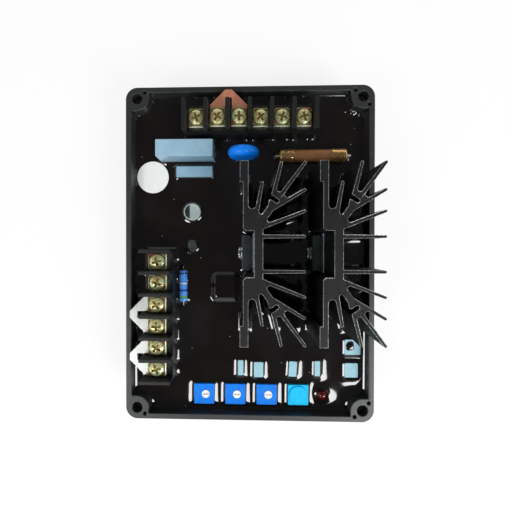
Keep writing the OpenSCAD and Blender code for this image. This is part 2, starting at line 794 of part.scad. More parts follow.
module fixing_washers() {
    color(tin) for (seat = [seat_left, seat_right])
        translate([device_front(seat) - fix_washer_t, sink_y, fix_z]) rotate([0, 90, 0]) difference() {
            cylinder(d = fix_washer_d, h = fix_washer_t);
            translate([0, 0, -1]) cylinder(d = fix_d + 2 * fix_gaps[1], h = fix_washer_t + 2);
        }
}

// Frames of the two terminal blocks: X along the row, +Y towards the wires
module on_upper_block() {
    translate([upper_block_x, in_y - block_reach, 0]) children();
}

module on_side_block() {
    translate([block_reach - in_x, side_block_y, 0]) rotate(90) children();
}

// Solid of a block without its pockets
module block_solid() {
    translate([-block_l / 2, 0, board_top]) cube([block_l, deck_depth, deck_h]);
    translate([-block_l / 2, 0, deck_z]) cube([block_l, ridge_t, ridge_h]);
    for (i = [0:ways]) translate([barrier_x(i), 0, 0]) rotate([90, 0, 180])
        linear_extrude(barrier_depth)
            polygon([[-barrier_t / 2, board_top], [barrier_t / 2, board_top], [barrier_t / 2, deck_z],
                [barrier_top_t / 2, deck_z + barrier_h], [-barrier_top_t / 2, deck_z + barrier_h],
                [-barrier_t / 2, deck_z]]);
}

// Pocket of a terminal plate: from the ridge to just under the clamp washer's outer end
module plate_blank(i, t) {
    translate([terminal_x(i) - plate_w / 2, ridge_t, deck_z - plate_t]) cube([plate_w, plate_l, t]);
}

module terminal_block() {
    color(moulded_black) difference() {
        block_solid();
        for (i = [0:ways - 1]) {
            plate_blank(i, plate_t + 0.01);
            translate([terminal_x(i), screw_reach, deck_z - screw_l - 1])
                cylinder(d = terminal_hole_d, h = screw_l + 1);
            translate([terminal_x(i), tail_reach, board_top - 1])
                cylinder(d = pin_d + 2 * lead_gap, h = deck_h + 1);
        }
    }
}

module upper_terminal_block() { on_upper_block() terminal_block(); }
module side_terminal_block() { on_side_block() terminal_block(); }
module upper_block_body() { on_upper_block() block_solid(); }
module side_block_body() { on_side_block() block_solid(); }

// Plates let into the deck, each with a tail down through the board
module terminal_plates() {
    color(tin) for (i = [0:ways - 1]) {
        difference() {
            plate_blank(i, plate_t);
            translate([terminal_x(i), screw_reach, deck_z - plate_t - 1])
                cylinder(d = terminal_hole_d, h = plate_t + 2);
        }
        lead([terminal_x(i), tail_reach], deck_z - plate_t / 2, pin_d);
    }
}

module upper_terminal_plates() { on_upper_block() terminal_plates(); }
module side_terminal_plates() { on_side_block() terminal_plates(); }

// Height of a terminal's clamp washer, on its plate or on the link plate
function clamp_z(i, linked) = deck_z + (is_in(i, linked) ? link_t : 0);

// Square washers whose inner and outer ends turn up
module clamp_washers(linked) {
    color(zinc_yellow) for (i = [0:ways - 1])
        translate([terminal_x(i), screw_reach, clamp_z(i, linked)]) difference() {
            union() {
                linear_extrude(clamp_t) round_rect(clamp_size, clamp_edge);
                for (s = [-1, 1])
                    translate([0, s * (clamp_size[1] - clamp_edge) / 2, clamp_t + clamp_lip / 2])
                        cube([clamp_size[0] - 2 * clamp_edge, clamp_edge, clamp_lip], center = true);
            }
            translate([0, 0, -1]) cylinder(d = terminal_hole_d, h = clamp_t + 2);
        }
}

module upper_clamp_washers() { on_upper_block() clamp_washers(upper_linked); }
module side_clamp_washers() { on_side_block() clamp_washers(side_linked); }

module terminal_screws(linked) {
    color(zinc_yellow) for (i = [0:ways - 1])
        translate([terminal_x(i), screw_reach, clamp_z(i, linked) + clamp_t]) {
            rotate(20 + 35 * i) cross_head(screw_head_d, screw_head_h);
            translate([0, 0, -screw_l]) cylinder(d = screw_d, h = screw_l + 0.1);
        }
}

module upper_terminal_screws() { on_upper_block() terminal_screws(upper_linked); }
module side_terminal_screws() { on_side_block() terminal_screws(side_linked); }

// Link plate: two legs under the clamp washers, joined by a pointed nose
module link_plate(barrier) {
    half = (pitch + link_leg) / 2;
    slot = barrier_t / 2 + link_gap;
    nose = block_reach - link_wall_gap;
    heel = screw_reach - clamp_size[1] / 2 + clamp_edge;
    translate([barrier_x(barrier), 0, deck_z]) linear_extrude(link_t) difference() {
        polygon([[-half, heel], [half, heel], [half, deck_depth], [link_nose / 2, nose],
            [-link_nose / 2, nose], [-half, deck_depth]]);
        translate([-slot, heel - 1]) square([2 * slot, nose - link_bridge - heel + 1]);
        for (s = [-1, 1]) translate([s * pitch / 2, screw_reach]) circle(d = terminal_hole_d);
    }
}

module copper_link() { color(copper) on_upper_block() link_plate(upper_link_barrier); }
module plated_link_upper() { color(tin) on_side_block() link_plate(side_link_barriers[0]); }
module plated_link_lower() { color(tin) on_side_block() link_plate(side_link_barriers[1]); }

// Frame of the fuse: X along its axis
module on_fuse() {
    translate([fuse_at[0], fuse_at[1], fuse_z]) rotate([0, 90, 0]) children();
}

module fuse_tube() {
    color("peru") on_fuse()
        cylinder(d = fuse_cap_d - 2 * fuse_cap_t, h = fuse_l - 2 * fuse_cap_t, center = true);
}

module fuse_caps() {
    color(brass) on_fuse() for (s = [0, 1]) mirror([0, 0, s])
        translate([0, 0, fuse_l / 2 - fuse_cap_l]) difference() {
            cylinder(d = fuse_cap_d, h = fuse_cap_l);
            translate([0, 0, -fuse_cap_t])
                cylinder(d = fuse_cap_d - 2 * fuse_cap_t, h = fuse_cap_l);
            translate([0, 0, fuse_cap_l / 2]) rotate_extrude()
                translate([fuse_cap_d / 2 + groove_r - groove_depth, 0]) circle(groove_r);
        }
}

// Wire that leaves a point level and bends down to the board
module bent_lead(from, to, d) {
    lead([to[0], to[1]], to[2], d);
    translate(to) sphere(d = d);
    run = [from[0] - to[0], from[1] - to[1]];
    translate(to) rotate([0, 90, atan2(run[1], run[0])]) cylinder(d = d, h = norm(run));
}

module fuse_leads() {
    color(tin) for (i = [0, 1]) {
        s = 2 * i - 1;
        bent_lead([fuse_at[0] + s * fuse_l / 2, fuse_at[1], fuse_z],
            [fuse_lead_rows[i][0], fuse_lead_rows[i][1], fuse_z], fuse_lead_d);
    }
}

// Box with round upright edges that stands on the board
module board_box(at, size, h) {
    translate([at[0], at[1], board_top]) linear_extrude(h) round_rect(size, box_r);
}

module film_capacitor_large() {
    color(film_blue) {
        board_box(film_large_at, film_large, film_large[2]);
        for (x = [-1, 1]) lead(film_large_at + [x * film_pitches[0] / 2, 0], board_top + lead_bite, lead_d);
    }
}

module film_capacitor_small() {
    color(film_blue) {
        board_box(film_small_at, film_small, film_small[2]);
        for (x = [-1, 1]) lead(film_small_at + [x * film_pitches[1] / 2, 0], board_top + lead_bite, lead_d);
    }
}

module electrolytic_capacitor() {
    color("silver") {
        translate([can_at[0], can_at[1], board_top]) difference() {
            rotate_extrude() {
                square([can_d / 2 - can_r, can_h]);
                square([can_d / 2, can_h - can_r]);
                translate([can_d / 2 - can_r, can_h - can_r]) intersection() {
                    circle(can_r);
                    square(can_r);
                }
            }
            translate([0, 0, can_h - can_recess]) cylinder(d = can_d - 2 * can_rim, h = can_h);
        }
        for (x = [-1, 1]) lead(can_at + [x * can_pitch / 2, 0], board_top + lead_bite, lead_d);
    }
}

module box_capacitor(i) {
    b = box_caps[i];
    color(box_blue) {
        translate([b[0][0], b[0][1], board_top]) rotate(b[2]) linear_extrude(box_h)
            round_rect(b[1], box_r);
        for (s = [-1, 1]) lead(b[0] + s * box_pitch / 2 * b[3], board_top + lead_bite, lead_d);
    }
}

// Coated disc that stands on edge, on its two leads
module surge_disc() {
    centre_z = resin_z + disc_lift + disc_d / 2;
    color("royalblue") {
        translate([disc_at[0], disc_at[1], centre_z]) rotate([90, 0, 0]) rotate_extrude() {
            translate([0, -disc_t / 2]) square([disc_d / 2 - disc_t / 2, disc_t]);
            translate([disc_d / 2 - disc_t / 2, 0]) intersection() {
                circle(d = disc_t);
                translate([0, -disc_t / 2]) square([disc_t / 2, disc_t]);
            }
        }
        for (x = [-1, 1]) lead(disc_at + [x * disc_pitch / 2, 0], centre_z - disc_d / 4, lead_d);
    }
}

module resistor_body() {
    color("cornflowerblue") translate([res_at[0], res_at[1], res_z]) rotate([90, 0, 0]) {
        cylinder(d = res_d, h = res_l - res_end_l, center = true);
        for (s = [0, 1]) mirror([0, 0, s]) translate([0, 0, res_l / 2 - res_end_l]) rotate_extrude()
            intersection() {
                translate([0, res_end_l / 2]) round_rect([res_end_d, res_end_l], res_end_l / 2.2);
                square([res_end_d, res_end_l]);
            }
    }
}

module resistor_leads() {
    color(tin) for (s = [-1, 1]) {
        y = res_at[1] + s * (res_l / 2 + res_lead_reach);
        bent_lead([res_at[0], res_at[1] + s * res_l / 2, res_z], [res_at[0], y, res_z], lead_d);
    }
}

module transistor() {
    base_z = resin_z + transistor_proud - transistor_h;
    color(moulded_black) {
        translate([transistor_at[0], transistor_at[1], base_z]) intersection() {
            cylinder(d = transistor_d, h = transistor_h);
            translate([-transistor_flat, -transistor_d, -1])
                cube([2 * transistor_d, 2 * transistor_d, transistor_h + 2]);
        }
        for (y = [-1, 0, 1]) lead(transistor_at + [0, y * lead_pitch], base_z + lead_bite, lead_d);
    }
}

// Trimmer without the rotor's bore
module trimmer_block(i) {
    base_z = trimmer_top - trimmer_h;
    translate([trimmer_at(i)[0], trimmer_at(i)[1], base_z])
        linear_extrude(trimmer_h) round_rect([trimmer_w, trimmer_w], box_r);
    for (y = [-1, 0, 1]) lead(trimmer_at(i) + trimmer_lead * [y, y == 0 ? 1 : 0], base_z + lead_bite, lead_d);
}

module trimmer_body(i) {
    color(trimmer_blue) difference() {
        trimmer_block(i);
        translate([rotor_at(i)[0], rotor_at(i)[1], trimmer_top - rotor_seat])
            cylinder(d = rotor_d + 2 * rotor_gap, h = rotor_seat + 1);
    }
}

// Adjusting rotor with a driver slot
module trimmer_rotor(i) {
    top = trimmer_top + rotor_proud;
    color("white") translate([rotor_at(i)[0], rotor_at(i)[1], 0]) difference() {
        translate([0, 0, trimmer_top - rotor_seat])
            cylinder(d = rotor_d, h = rotor_seat + rotor_proud);
        translate([-0.4 * rotor_d, -rotor_slot / 2, top - rotor_slot_depth])
            cube([0.8 * rotor_d, rotor_slot, rotor_slot_depth + 1]);
    }
}

module trimmer_body_4() { color(seal_cyan) trimmer_block(3); }

module trimmer_seal_4() {
    color(seal_cyan) translate([trimmer_at(3)[0], trimmer_at(3)[1], trimmer_top])
        cylinder(d = seal_d, h = seal_t);
}

module indicator_lamp() {
    tip = resin_z + lamp_proud;
    color("darkred") {
        translate([lamp_at[0], lamp_at[1], tip - lamp_d / 2]) sphere(d = lamp_d);
        translate([lamp_at[0], lamp_at[1], tip - lamp_h]) {
            cylinder(d = lamp_d, h = lamp_h - lamp_d / 2);
            cylinder(d = lamp_d + 2 * lamp_flange[0], h = lamp_flange[1]);
        }
        for (x = [-1, 1]) lead(lamp_at + [x * lead_pitch, 0], tip - lamp_h + lead_bite, lead_d);
    }
}

module inspection_label() {
    color("white") translate([label_at[0], label_at[1], resin_z]) cylinder(d = label_d, h = label_t);
}

tray();
circuit_board();
potting_resin();
buried_module();
heat_sink_left();
heat_sink_right();
heat_sink_pins();
power_device_left();
power_device_right();
device_tab_left();
device_tab_right();
insulating_pads();
fixing_screws();
fixing_washers();
upper_terminal_block();
upper_terminal_plates();
upper_clamp_washers();
upper_terminal_screws();
side_terminal_block();
side_terminal_plates();
side_clamp_washers();
side_terminal_screws();
copper_link();
plated_link_upper();
plated_link_lower();
fuse_tube();
fuse_caps();
fuse_leads();
film_capacitor_large();
film_capacitor_small();
electrolytic_capacitor();
box_capacitor(0);  // box_capacitor_1
box_capacitor(1);  // box_capacitor_2
box_capacitor(2);  // box_capacitor_3
box_capacitor(3);  // box_capacitor_4
box_capacitor(4);  // box_capacitor_5
box_capacitor(5);  // box_capacitor_6
surge_disc();
resistor_body();
resistor_leads();
transistor();
trimmer_body(0);  // trimmer_body_1
trimmer_body(1);  // trimmer_body_2
trimmer_body(2);  // trimmer_body_3
trimmer_body_4();
trimmer_rotor(0);  // trimmer_rotor_1
trimmer_rotor(1);  // trimmer_rotor_2
trimmer_rotor(2);  // trimmer_rotor_3
trimmer_seal_4();
indicator_lamp();
inspection_label();
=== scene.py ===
# %% [markdown]
# # A potted voltage regulator
#
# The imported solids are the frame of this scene: every piece below sits where its solid says.
# We add what solids can't show, which is the way resin climbs up whatever it is cast against,
# the small rounds on every moulded edge, and the finish of each material.

# %% Load the frame
import json
from math import exp, pi, radians

import bmesh
import bpy
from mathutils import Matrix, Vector, noise
from mathutils.bvhtree import BVHTree


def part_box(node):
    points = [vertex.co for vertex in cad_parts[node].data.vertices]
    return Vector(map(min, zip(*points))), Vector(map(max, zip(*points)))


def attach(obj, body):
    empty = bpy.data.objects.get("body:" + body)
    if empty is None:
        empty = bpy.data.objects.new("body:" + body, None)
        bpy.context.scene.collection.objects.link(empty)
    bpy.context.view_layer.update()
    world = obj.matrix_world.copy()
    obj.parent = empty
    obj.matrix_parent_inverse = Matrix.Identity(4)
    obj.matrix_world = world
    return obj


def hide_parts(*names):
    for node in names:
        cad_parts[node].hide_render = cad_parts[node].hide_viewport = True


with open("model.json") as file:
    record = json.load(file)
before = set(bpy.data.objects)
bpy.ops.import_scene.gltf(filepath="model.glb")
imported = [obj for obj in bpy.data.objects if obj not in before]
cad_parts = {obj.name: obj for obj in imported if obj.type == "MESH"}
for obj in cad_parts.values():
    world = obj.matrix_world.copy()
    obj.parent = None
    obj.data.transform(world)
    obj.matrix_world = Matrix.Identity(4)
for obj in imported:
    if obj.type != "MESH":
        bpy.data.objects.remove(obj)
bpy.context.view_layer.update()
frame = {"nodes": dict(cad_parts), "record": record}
nodes = frame["nodes"]
record = frame["record"]
print("nodes in the frame:", len(nodes))

# %% [markdown]
# ## Units
#
# The scene is in metres, and a maker thinks in millimetres, so one value converts between them.
# Lengths below are in millimetres, except where a comment says metres.

# %% Units
MM = 0.001

# %% [markdown]
# ## Materials
#
# Most surfaces here are moulded, cast or plated, and under a lamp they all show the same three
# things: a colour that wanders a little, a gloss that wanders with it, and a fine unevenness.
# So one function builds that from real sizes in millimetres. A finish that needs more, such as
# bands or a printed stripe, adds its own nodes on top.

# %% Colour and node helpers


def linear(code):
    """Turns an sRGB hex colour into the linear colour that shaders use, by the sRGB curve."""
    parts = [int(code[i:i + 2], 16) / 255 for i in (1, 3, 5)]
    curve = [c / 12.92 if c <= 0.04045 else ((c + 0.055) / 1.055) ** 2.4 for c in parts]
    return (*curve, 1)


def add(tree, kind, settings=None, links=None):
    """Adds a node, sets its properties and sockets, and links what feeds it."""
    node = tree.nodes.new(kind)
    for key, value in (settings or {}).items():
        if isinstance(key, str) and hasattr(node, key):
            setattr(node, key, value)
        else:
            node.inputs[key].default_value = value
    for key, source in (links or {}).items():
        tree.links.new(source, node.inputs[key])
    return node


# Sockets of a colour mix, which share their names with those of its other kinds
MIX_A, MIX_B, MIX_OUT = 6, 7, 2
# Octaves and roughness of the grains' noise, and the range that most of it lies in
GRAIN_DETAIL, GRAIN_ROUGHNESS = 4, 0.6
NOISE_LOW, NOISE_HIGH = 0.3, 0.7


def finish(name, dark, light, grain, rough, bump=0, stretch=(1, 1, 1), **shader_settings):
    """A material whose colour, gloss and height wander over grains of a size in millimetres.

    rough is a pair of roughness values, bump a height in millimetres, and stretch a scale per
    axis: below 1, the grains grow long that way.
    """
    material = bpy.data.materials.new(name)
    material.use_nodes = True
    tree = material.node_tree
    shader = tree.nodes["Principled BSDF"]
    place = add(tree, "ShaderNodeTexCoord")
    turned = add(tree, "ShaderNodeMapping", {"Scale": stretch}, {"Vector": place.outputs["Object"]})
    grains = add(tree, "ShaderNodeTexNoise",
                 {"Scale": 1 / (grain * MM), "Detail": GRAIN_DETAIL, "Roughness": GRAIN_ROUGHNESS},
                 {"Vector": turned.outputs["Vector"]})
    spread = add(tree, "ShaderNodeMapRange", {"From Min": NOISE_LOW, "From Max": NOISE_HIGH},
                 {"Value": grains.outputs["Fac"]})
    tone = add(tree, "ShaderNodeMix",
               {"data_type": "RGBA", MIX_A: linear(dark), MIX_B: linear(light)},
               {"Factor": spread.outputs["Result"]})
    gloss = add(tree, "ShaderNodeMapRange", {"To Min": rough[0], "To Max": rough[1]},
                {"Value": spread.outputs["Result"]})
    tree.links.new(tone.outputs[MIX_OUT], shader.inputs["Base Color"])
    tree.links.new(gloss.outputs["Result"], shader.inputs["Roughness"])
    if bump:
        height = add(tree, "ShaderNodeBump", {"Strength": 1, "Distance": bump * MM},
                     {"Height": grains.outputs["Fac"]})
        tree.links.new(height.outputs["Normal"], shader.inputs["Normal"])
    for key, value in shader_settings.items():
        shader.inputs[key.replace("_", " ")].default_value = value
    return material


print("mid grey as shaders see it:", round(linear("#808080")[0], 3))

# %% [markdown]
# ### Drifts and specks
#
# Two things come on top of the plain wander. A plated film drifts in hue from one place to the
# next, and dust settles on anything sticky before it sets. A drift is a second noise that mixes
# in another colour. Specks are the middles of scattered cells, coloured where they lie near the
# surface, which leaves most cells empty, as real dust does.

# %% Drifts and specks
DRIFT_DETAIL = 2


def drift(material, code, grain, start, end):
    """Mixes a second colour in where noise of a grain in millimetres rises from start to end."""
    tree = material.node_tree
    shader = tree.nodes["Principled BSDF"]
    place = add(tree, "ShaderNodeTexCoord")
    clouds = add(tree, "ShaderNodeTexNoise", {"Scale": 1 / (grain * MM), "Detail": DRIFT_DETAIL},
                 {"Vector": place.outputs["Object"]})
    share = add(tree, "ShaderNodeMapRange", {"From Min": start, "From Max": end},
                {"Value": clouds.outputs["Fac"]})
    base = shader.inputs["Base Color"].links[0].from_socket
    tint = add(tree, "ShaderNodeMix", {"data_type": "RGBA", MIX_B: linear(code)},
               {"Factor": share.outputs["Result"], MIX_A: base})
    tree.links.new(tint.outputs[MIX_OUT], shader.inputs["Base Color"])


def dust(material, code, spacing, radius):
    """Scatters specks of a radius over a material, about one for each cell of a spacing, in mm."""
    tree = material.node_tree
    shader = tree.nodes["Principled BSDF"]
    place = add(tree, "ShaderNodeTexCoord")
    cells = add(tree, "ShaderNodeTexVoronoi", {"Scale": 1 / (spacing * MM)},
                {"Vector": place.outputs["Object"]})
    near = add(tree, "ShaderNodeMath", {"operation": "LESS_THAN", 1: radius / spacing},
               {0: cells.outputs["Distance"]})
    base = shader.inputs["Base Color"].links[0].from_socket
    speck = add(tree, "ShaderNodeMix", {"data_type": "RGBA", MIX_B: linear(code)},
                {"Factor": near.outputs[0], MIX_A: base})
    tree.links.new(speck.outputs[MIX_OUT], shader.inputs["Base Color"])


print("helpers made for drifts and specks")

# %% [markdown]
# ### Plastics and resin
#
# The tray is moulded ABS with a spark-eroded texture, so it is matt and a little mottled. The
# terminal blocks are glass-filled nylon, darker and drier. Casting resin sets to a mirror, so its
# roughness is low, and only dust and cooling haze break it up.

# %% Plastics and resin
# Moulded ABS: the texture of the mould scatters light, so its gloss is wide and dull.
abs_grey = finish("textured_abs", "#141717", "#1f2322", 0.9, (0.46, 0.56), 0.025,
                  Specular_IOR_Level=1.0)
dust(abs_grey, "#5d6363", 4, 0.2)
# Glass-filled nylon: short fibres near the skin give grey flecks.
nylon_black = finish("glass_filled_nylon", "#101111", "#1a1b1b", 1.2, (0.45, 0.55), 0.015)
# Cast epoxy: a mirror skin over a black-brown body, hazed in patches.
resin_black = finish("cast_epoxy_resin", "#0e0908", "#17100e", 14, (0.05, 0.1), 0, IOR=1.55,
                     Specular_IOR_Level=0.9)
drift(resin_black, "#1c1b1d", 30, 0.5, 0.75)
# Real dust is finer; these specks are as coarse as a pixel needs.
dust(resin_black, "#8b8f8c", 5, 0.25)
# Moulded epoxy of the power devices and the transistor: fine, satin, slightly green grey.
epoxy_grey = finish("moulded_epoxy", "#2c3536", "#3d4848", 1.5, (0.3, 0.42), 0.01)
# Polyester boxes of film capacitors: smooth and slightly waxy.
film_blue = finish("polyester_box", "#8bb2c8", "#9dbfd2", 6, (0.28, 0.36), 0.005, Coat_Weight=0.2)
# The small boxes are drier, from a rougher mould.
box_cyan = finish("pale_polyester_box", "#93c4d4", "#a4d1dd", 3, (0.5, 0.6), 0.008)
# Dipped epoxy powder: a thick satin coat with orange peel.
disc_blue = finish("dipped_epoxy", "#007cf8", "#0a8aff", 3.5, (0.3, 0.36), 0.003,
                   Specular_IOR_Level=0.35)
# Polyamide trimmer bodies: saturated, satin, with a moulded skin.
trimmer_blue = finish("blue_polyamide", "#0076e8", "#0486f6", 2.2, (0.48, 0.58), 0.01,
                      Specular_IOR_Level=0.25)
seal_cyan = finish("cyan_polyamide", "#02b8f2", "#0ac8fb", 2.2, (0.42, 0.52), 0.01,
                   Specular_IOR_Level=0.25)
# Acetal of the rotors: white, smooth and slippery.
rotor_white = finish("white_acetal", "#eeeeea", "#f9f9f6", 1.5, (0.35, 0.45), 0.005)
# Silicone rubber pads, seen only at their edges.
pad_grey = finish("silicone_pad", "#aebad4", "#c3cbe0", 1.5, (0.5, 0.6), 0.01)
# Glass-epoxy laminate of the board, under the resin.
laminate_green = finish("glass_epoxy_laminate", "#1b4a28", "#235a31", 1.2, (0.4, 0.5), 0.02)
# Vulcanised fibre of the fuse tube: dry, with fibres along its axis.
fibre_tan = finish("vulcanised_fibre", "#94603c", "#ad7548", 0.9, (0.45, 0.6), 0.02, (0.25, 1, 1))
# Coated paper of the round label: flat and very slightly fibrous.
label_white = finish("coated_paper", "#f1f2ef", "#fbfcfa", 1.2, (0.5, 0.6), 0.01)
# Tinted clear resin of the unlit lamp: deep red with a bright skin.
lamp_red = finish("tinted_lamp_resin", "#4a0608", "#6e0c10", 2.5, (0.04, 0.1), 0,
                  Transmission_Weight=0.35, Coat_Weight=0.2)
print("plastics and resins made")

# %% [markdown]
# ### Metals
#
# The heat sinks are extruded and dyed black, so faint die lines run along their height, and the
# saw leaves bare edges. The terminal hardware is steel with yellow zinc: a thin film that drifts
# between gold, green and rose, and is uneven enough to break up every highlight. The links are
# bare copper and bright tin.

# %% Metals
# Black anodised aluminium: dyed oxide over a drawn surface, with die lines along the extrusion.
anodised = finish("black_anodised_aluminium", "#0d0e0e", "#161717", 1.1, (0.48, 0.6), 0.01,
                  (1, 1, 0.02), Metallic=0.15)
# Bare aluminium where the saw broke the oxide at the edges, patchy because burrs are uneven.
bare_edge = finish("bare_aluminium_edge", "#131415", "#e6e6e3", 0.7, (0.3, 0.45), 0, Metallic=0.5)
# Tin plate: bright, soft and slightly uneven.
tin_plate = finish("tin_plate", "#d0d4d0", "#eaede8", 2.5, (0.38, 0.5), 0.003, Metallic=1.0)
# Yellow zinc: the film drifts in hue over a few millimetres, and struck heads are uneven.
zinc_yellow = finish("yellow_zinc_plate", "#bcab5c", "#fffcca", 0.9, (0.12, 0.26), 0.16,
                     Metallic=0.48)
drift(zinc_yellow, "#d8906e", 5, 0.58, 0.72)
drift(zinc_yellow, "#cdeabc", 3.4, 0.5, 0.68)
# The same film on the clamp washers, darker than on the heads, and browner and rosier in patches.
zinc_brown = finish("darker_yellow_zinc", "#8a7f4c", "#d6ca8e", 1.4, (0.2, 0.32), 0.06,
                    Metallic=0.65)
drift(zinc_brown, "#b8705a", 4, 0.5, 0.66)
drift(zinc_brown, "#9fb98c", 3.4, 0.54, 0.7)
# Painted highlight: yellow zinc made pale and less metallic on the washers' turned-up inner ends,
# so that they look bright from every side.
zinc_painted_highlight = finish("zinc_ends_painted_highlight", "#e2ecd6", "#f7fbf0", 1.6, (0.25, 0.35), 0, Metallic=0.35)
# Tin of the terminal plates and of the devices' tabs, painted dark green grey: painted shade for
# the plates, which lie in the shade of the washers and the block.
tin_painted_shade = finish("tin_plate_painted_shade", "#4d574f", "#667066", 1.6, (0.3, 0.4), 0.003, Metallic=0.8)
# Clear zinc: the same plate without the yellow film, on the small fixing screws.
zinc_clear = finish("clear_zinc_plate", "#c3c7ca", "#e3e6e6", 2, (0.22, 0.32), 0, Metallic=1.0)
# Painted shade: a darker copy of yellow zinc on the floors and walls of the driver recesses.
recess_painted_shade = finish("zinc_recess_painted_shade", "#82733a", "#bfae64", 0.8, (0.3, 0.4), 0, Metallic=0.6)
# Bare rolled copper with a dull skin of oxide.
copper = finish("rolled_copper", "#d58867", "#e8a284", 2.2, (0.4, 0.5), 0.003, (1, 0.15, 1),
                Metallic=0.45)
# Drawn brass of the fuse caps: nearly a mirror, bright where it sees the light tent.
brass = finish("drawn_brass", "#eeb672", "#fbd08c", 6, (0.14, 0.2), 0, Metallic=0.8)
# Tinned wire of the fuse's leads, paler and less metallic than plate: a painted highlight for the
# glints on their loops.
wire_tin_painted_highlight = finish("tinned_wire_painted_highlight", "#e4e6e2", "#fafbf8", 1.5, (0.15, 0.25), 0, Metallic=0.5)
# Deep-drawn aluminium of the capacitor can.
can_metal = finish("drawn_aluminium", "#b2c4c1", "#c8d8d5", 2, (0.4, 0.5), 0.003, Metallic=0.4)
# Ink of the polarity patch on the can's end.
patch_ink = finish("polarity_ink", "#1d2223", "#2a3031", 2, (0.4, 0.5), 0.003)
print("metals made")

# %% [markdown]
# ### The banded resistor
#
# A power resistor wears its value as painted rings. They are a pattern along its length, so the
# Object coordinate along Y is compared with the middle of each ring. Each ring is one comparison
# and one mix, laid over the lacquer in turn.

# %% Resistor rings
resistor_lacquer = finish("blue_lacquer", "#4a92f0", "#60a6fb", 2, (0.22, 0.32), 0.01,
                          Coat_Weight=0.4)
res_low, res_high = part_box("resistor_body")
res_length = res_high.y - res_low.y
# Place of each ring as a share of the length from the upper end, its half width in mm, its colour
RINGS = [
    (0.1, 0.45, "#223a6e"),
    (0.42, 0.35, "#cfe0fa"),
    (0.64, 0.4, "#1c3f9a"),
    (0.86, 0.5, "#5fae4a"),
]


def paint_rings(material, rings, upper_end, length):
    """Lays rings over a material's colour, along Y."""
    tree = material.node_tree
    shader = tree.nodes["Principled BSDF"]
    place = add(tree, "ShaderNodeTexCoord")
    along = add(tree, "ShaderNodeSeparateXYZ", links={0: place.outputs["Object"]})
    colour = shader.inputs["Base Color"].links[0].from_socket
    for share, half_width, code in rings:
        inside = add(tree, "ShaderNodeMath",
                     {"operation": "COMPARE", 1: upper_end - share * length, 2: half_width * MM},
                     {0: along.outputs["Y"]})
        ring = add(tree, "ShaderNodeMix", {"data_type": "RGBA", MIX_B: linear(code)},
                   {"Factor": inside.outputs[0], MIX_A: colour})
        colour = ring.outputs[MIX_OUT]
    tree.links.new(colour, shader.inputs["Base Color"])


paint_rings(resistor_lacquer, RINGS, res_high.y, res_length)
print("rings on the resistor:", len(RINGS))

# %% [markdown]
# ### Dressing the frame
#
# Every solid gets the finish of its slot, also those that a new piece will stand for. A slot names
# the stuff, and a few nodes of the same stuff take another finish: the plates darker as painted
# shade, the washers darker and browner, and the fuse's leads brighter as a painted highlight.

# %% Finishes of the slots
slot_of_node = {s["node"]: s["material_slot"] for s in record["subparts"]}
FINISHES = {
    "tray_plastic": abs_grey,
    "board_laminate": laminate_green,
    "resin": resin_black,
    "moulded_epoxy": epoxy_grey,
    "black_anodised": anodised,
    "tinned_metal": tin_plate,
    "pad_silicone": pad_grey,
    "block_plastic": nylon_black,
    "zinc_steel": zinc_yellow,
    "clear_zinc": zinc_clear,
    "copper": copper,
    "fuse_ceramic": fibre_tan,
    "fuse_brass": brass,
    "film_box": film_blue,
    "box_plastic": box_cyan,
    "can_aluminium": can_metal,
    "disc_epoxy": disc_blue,
    "resistor_lacquer": resistor_lacquer,
    "trimmer_plastic": trimmer_blue,
    "seal_plastic": seal_cyan,
    "rotor_plastic": rotor_white,
    "lamp_resin": lamp_red,
    "label_paper": label_white,
}
# Nodes whose look departs from that of their slot
OWN_FINISHES = {
    # The plates and the tabs take a tin darkened as painted shade
    "upper_terminal_plates": tin_painted_shade,
    "side_terminal_plates": tin_painted_shade,
    "device_tab_left": tin_painted_shade,
    "device_tab_right": tin_painted_shade,
    "upper_clamp_washers": zinc_brown,
    "side_clamp_washers": zinc_brown,
    # The fuse's leads take a tin brightened as a painted highlight
    "fuse_leads": wire_tin_painted_highlight,
}
finish_of_node = {name: OWN_FINISHES.get(name, FINISHES[slot_of_node[name]]) for name in nodes}
for name, node in nodes.items():
    node.data.materials.clear()
    node.data.materials.append(finish_of_node[name])
print("finishes used:", len(set(finish_of_node.values())))

# %% [markdown]
# ## New pieces
#
# Three helpers serve every new piece. The first makes an object of a mesh and says which body it
# rides with. That comes from the record, so that nothing has to be written down twice. The other
# two look after its shading: smooth over rounds, sharp at edges, flat on flats.

# %% Helpers for new pieces
body_of_node = {n: body for body, names in record["behaviour"]["bodies"].items() for n in names}
# Angle in degrees from which an edge stays sharp
SHARP_ANGLE = 50


def piece_from(bm, name, node, *materials):
    """Makes an object of a bmesh with the given finishes, which rides with a node's body."""
    mesh = bpy.data.meshes.new(name)
    bm.to_mesh(mesh)
    bm.free()
    for material in materials:
        mesh.materials.append(material)
    piece = bpy.data.objects.new(name, mesh)
    bpy.context.scene.collection.objects.link(piece)
    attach(piece, body_of_node[node])
    return piece


def shade(piece, angle=SHARP_ANGLE):
    """Smooth shading that keeps the edges sharper than an angle, in degrees."""
    for face in piece.data.polygons:
        face.use_smooth = True
    piece.data.set_sharp_from_angle(angle=radians(angle))


def keep_flats(piece):
    """Lets large faces rule the normals, so that the shading of a bevel stays on the bevel."""
    modifier = piece.modifiers.new("flats_first", "WEIGHTED_NORMAL")
    modifier.keep_sharp = True


print("bodies that a piece can ride with:", len(set(body_of_node.values())))

# %% [markdown]
# ## Moulded and pressed edges
#
# No real edge is sharp. The tray, the terminal blocks, the capacitors and the pressed metal all
# have small rounds that catch the light. A copy of each solid's mesh is merged, its flat
# triangles are dissolved into faces, and its outer edges are bevelled. A Bevel modifier could do
# that too, but with the operator a finish can be set face by face, before the bevel or after it.

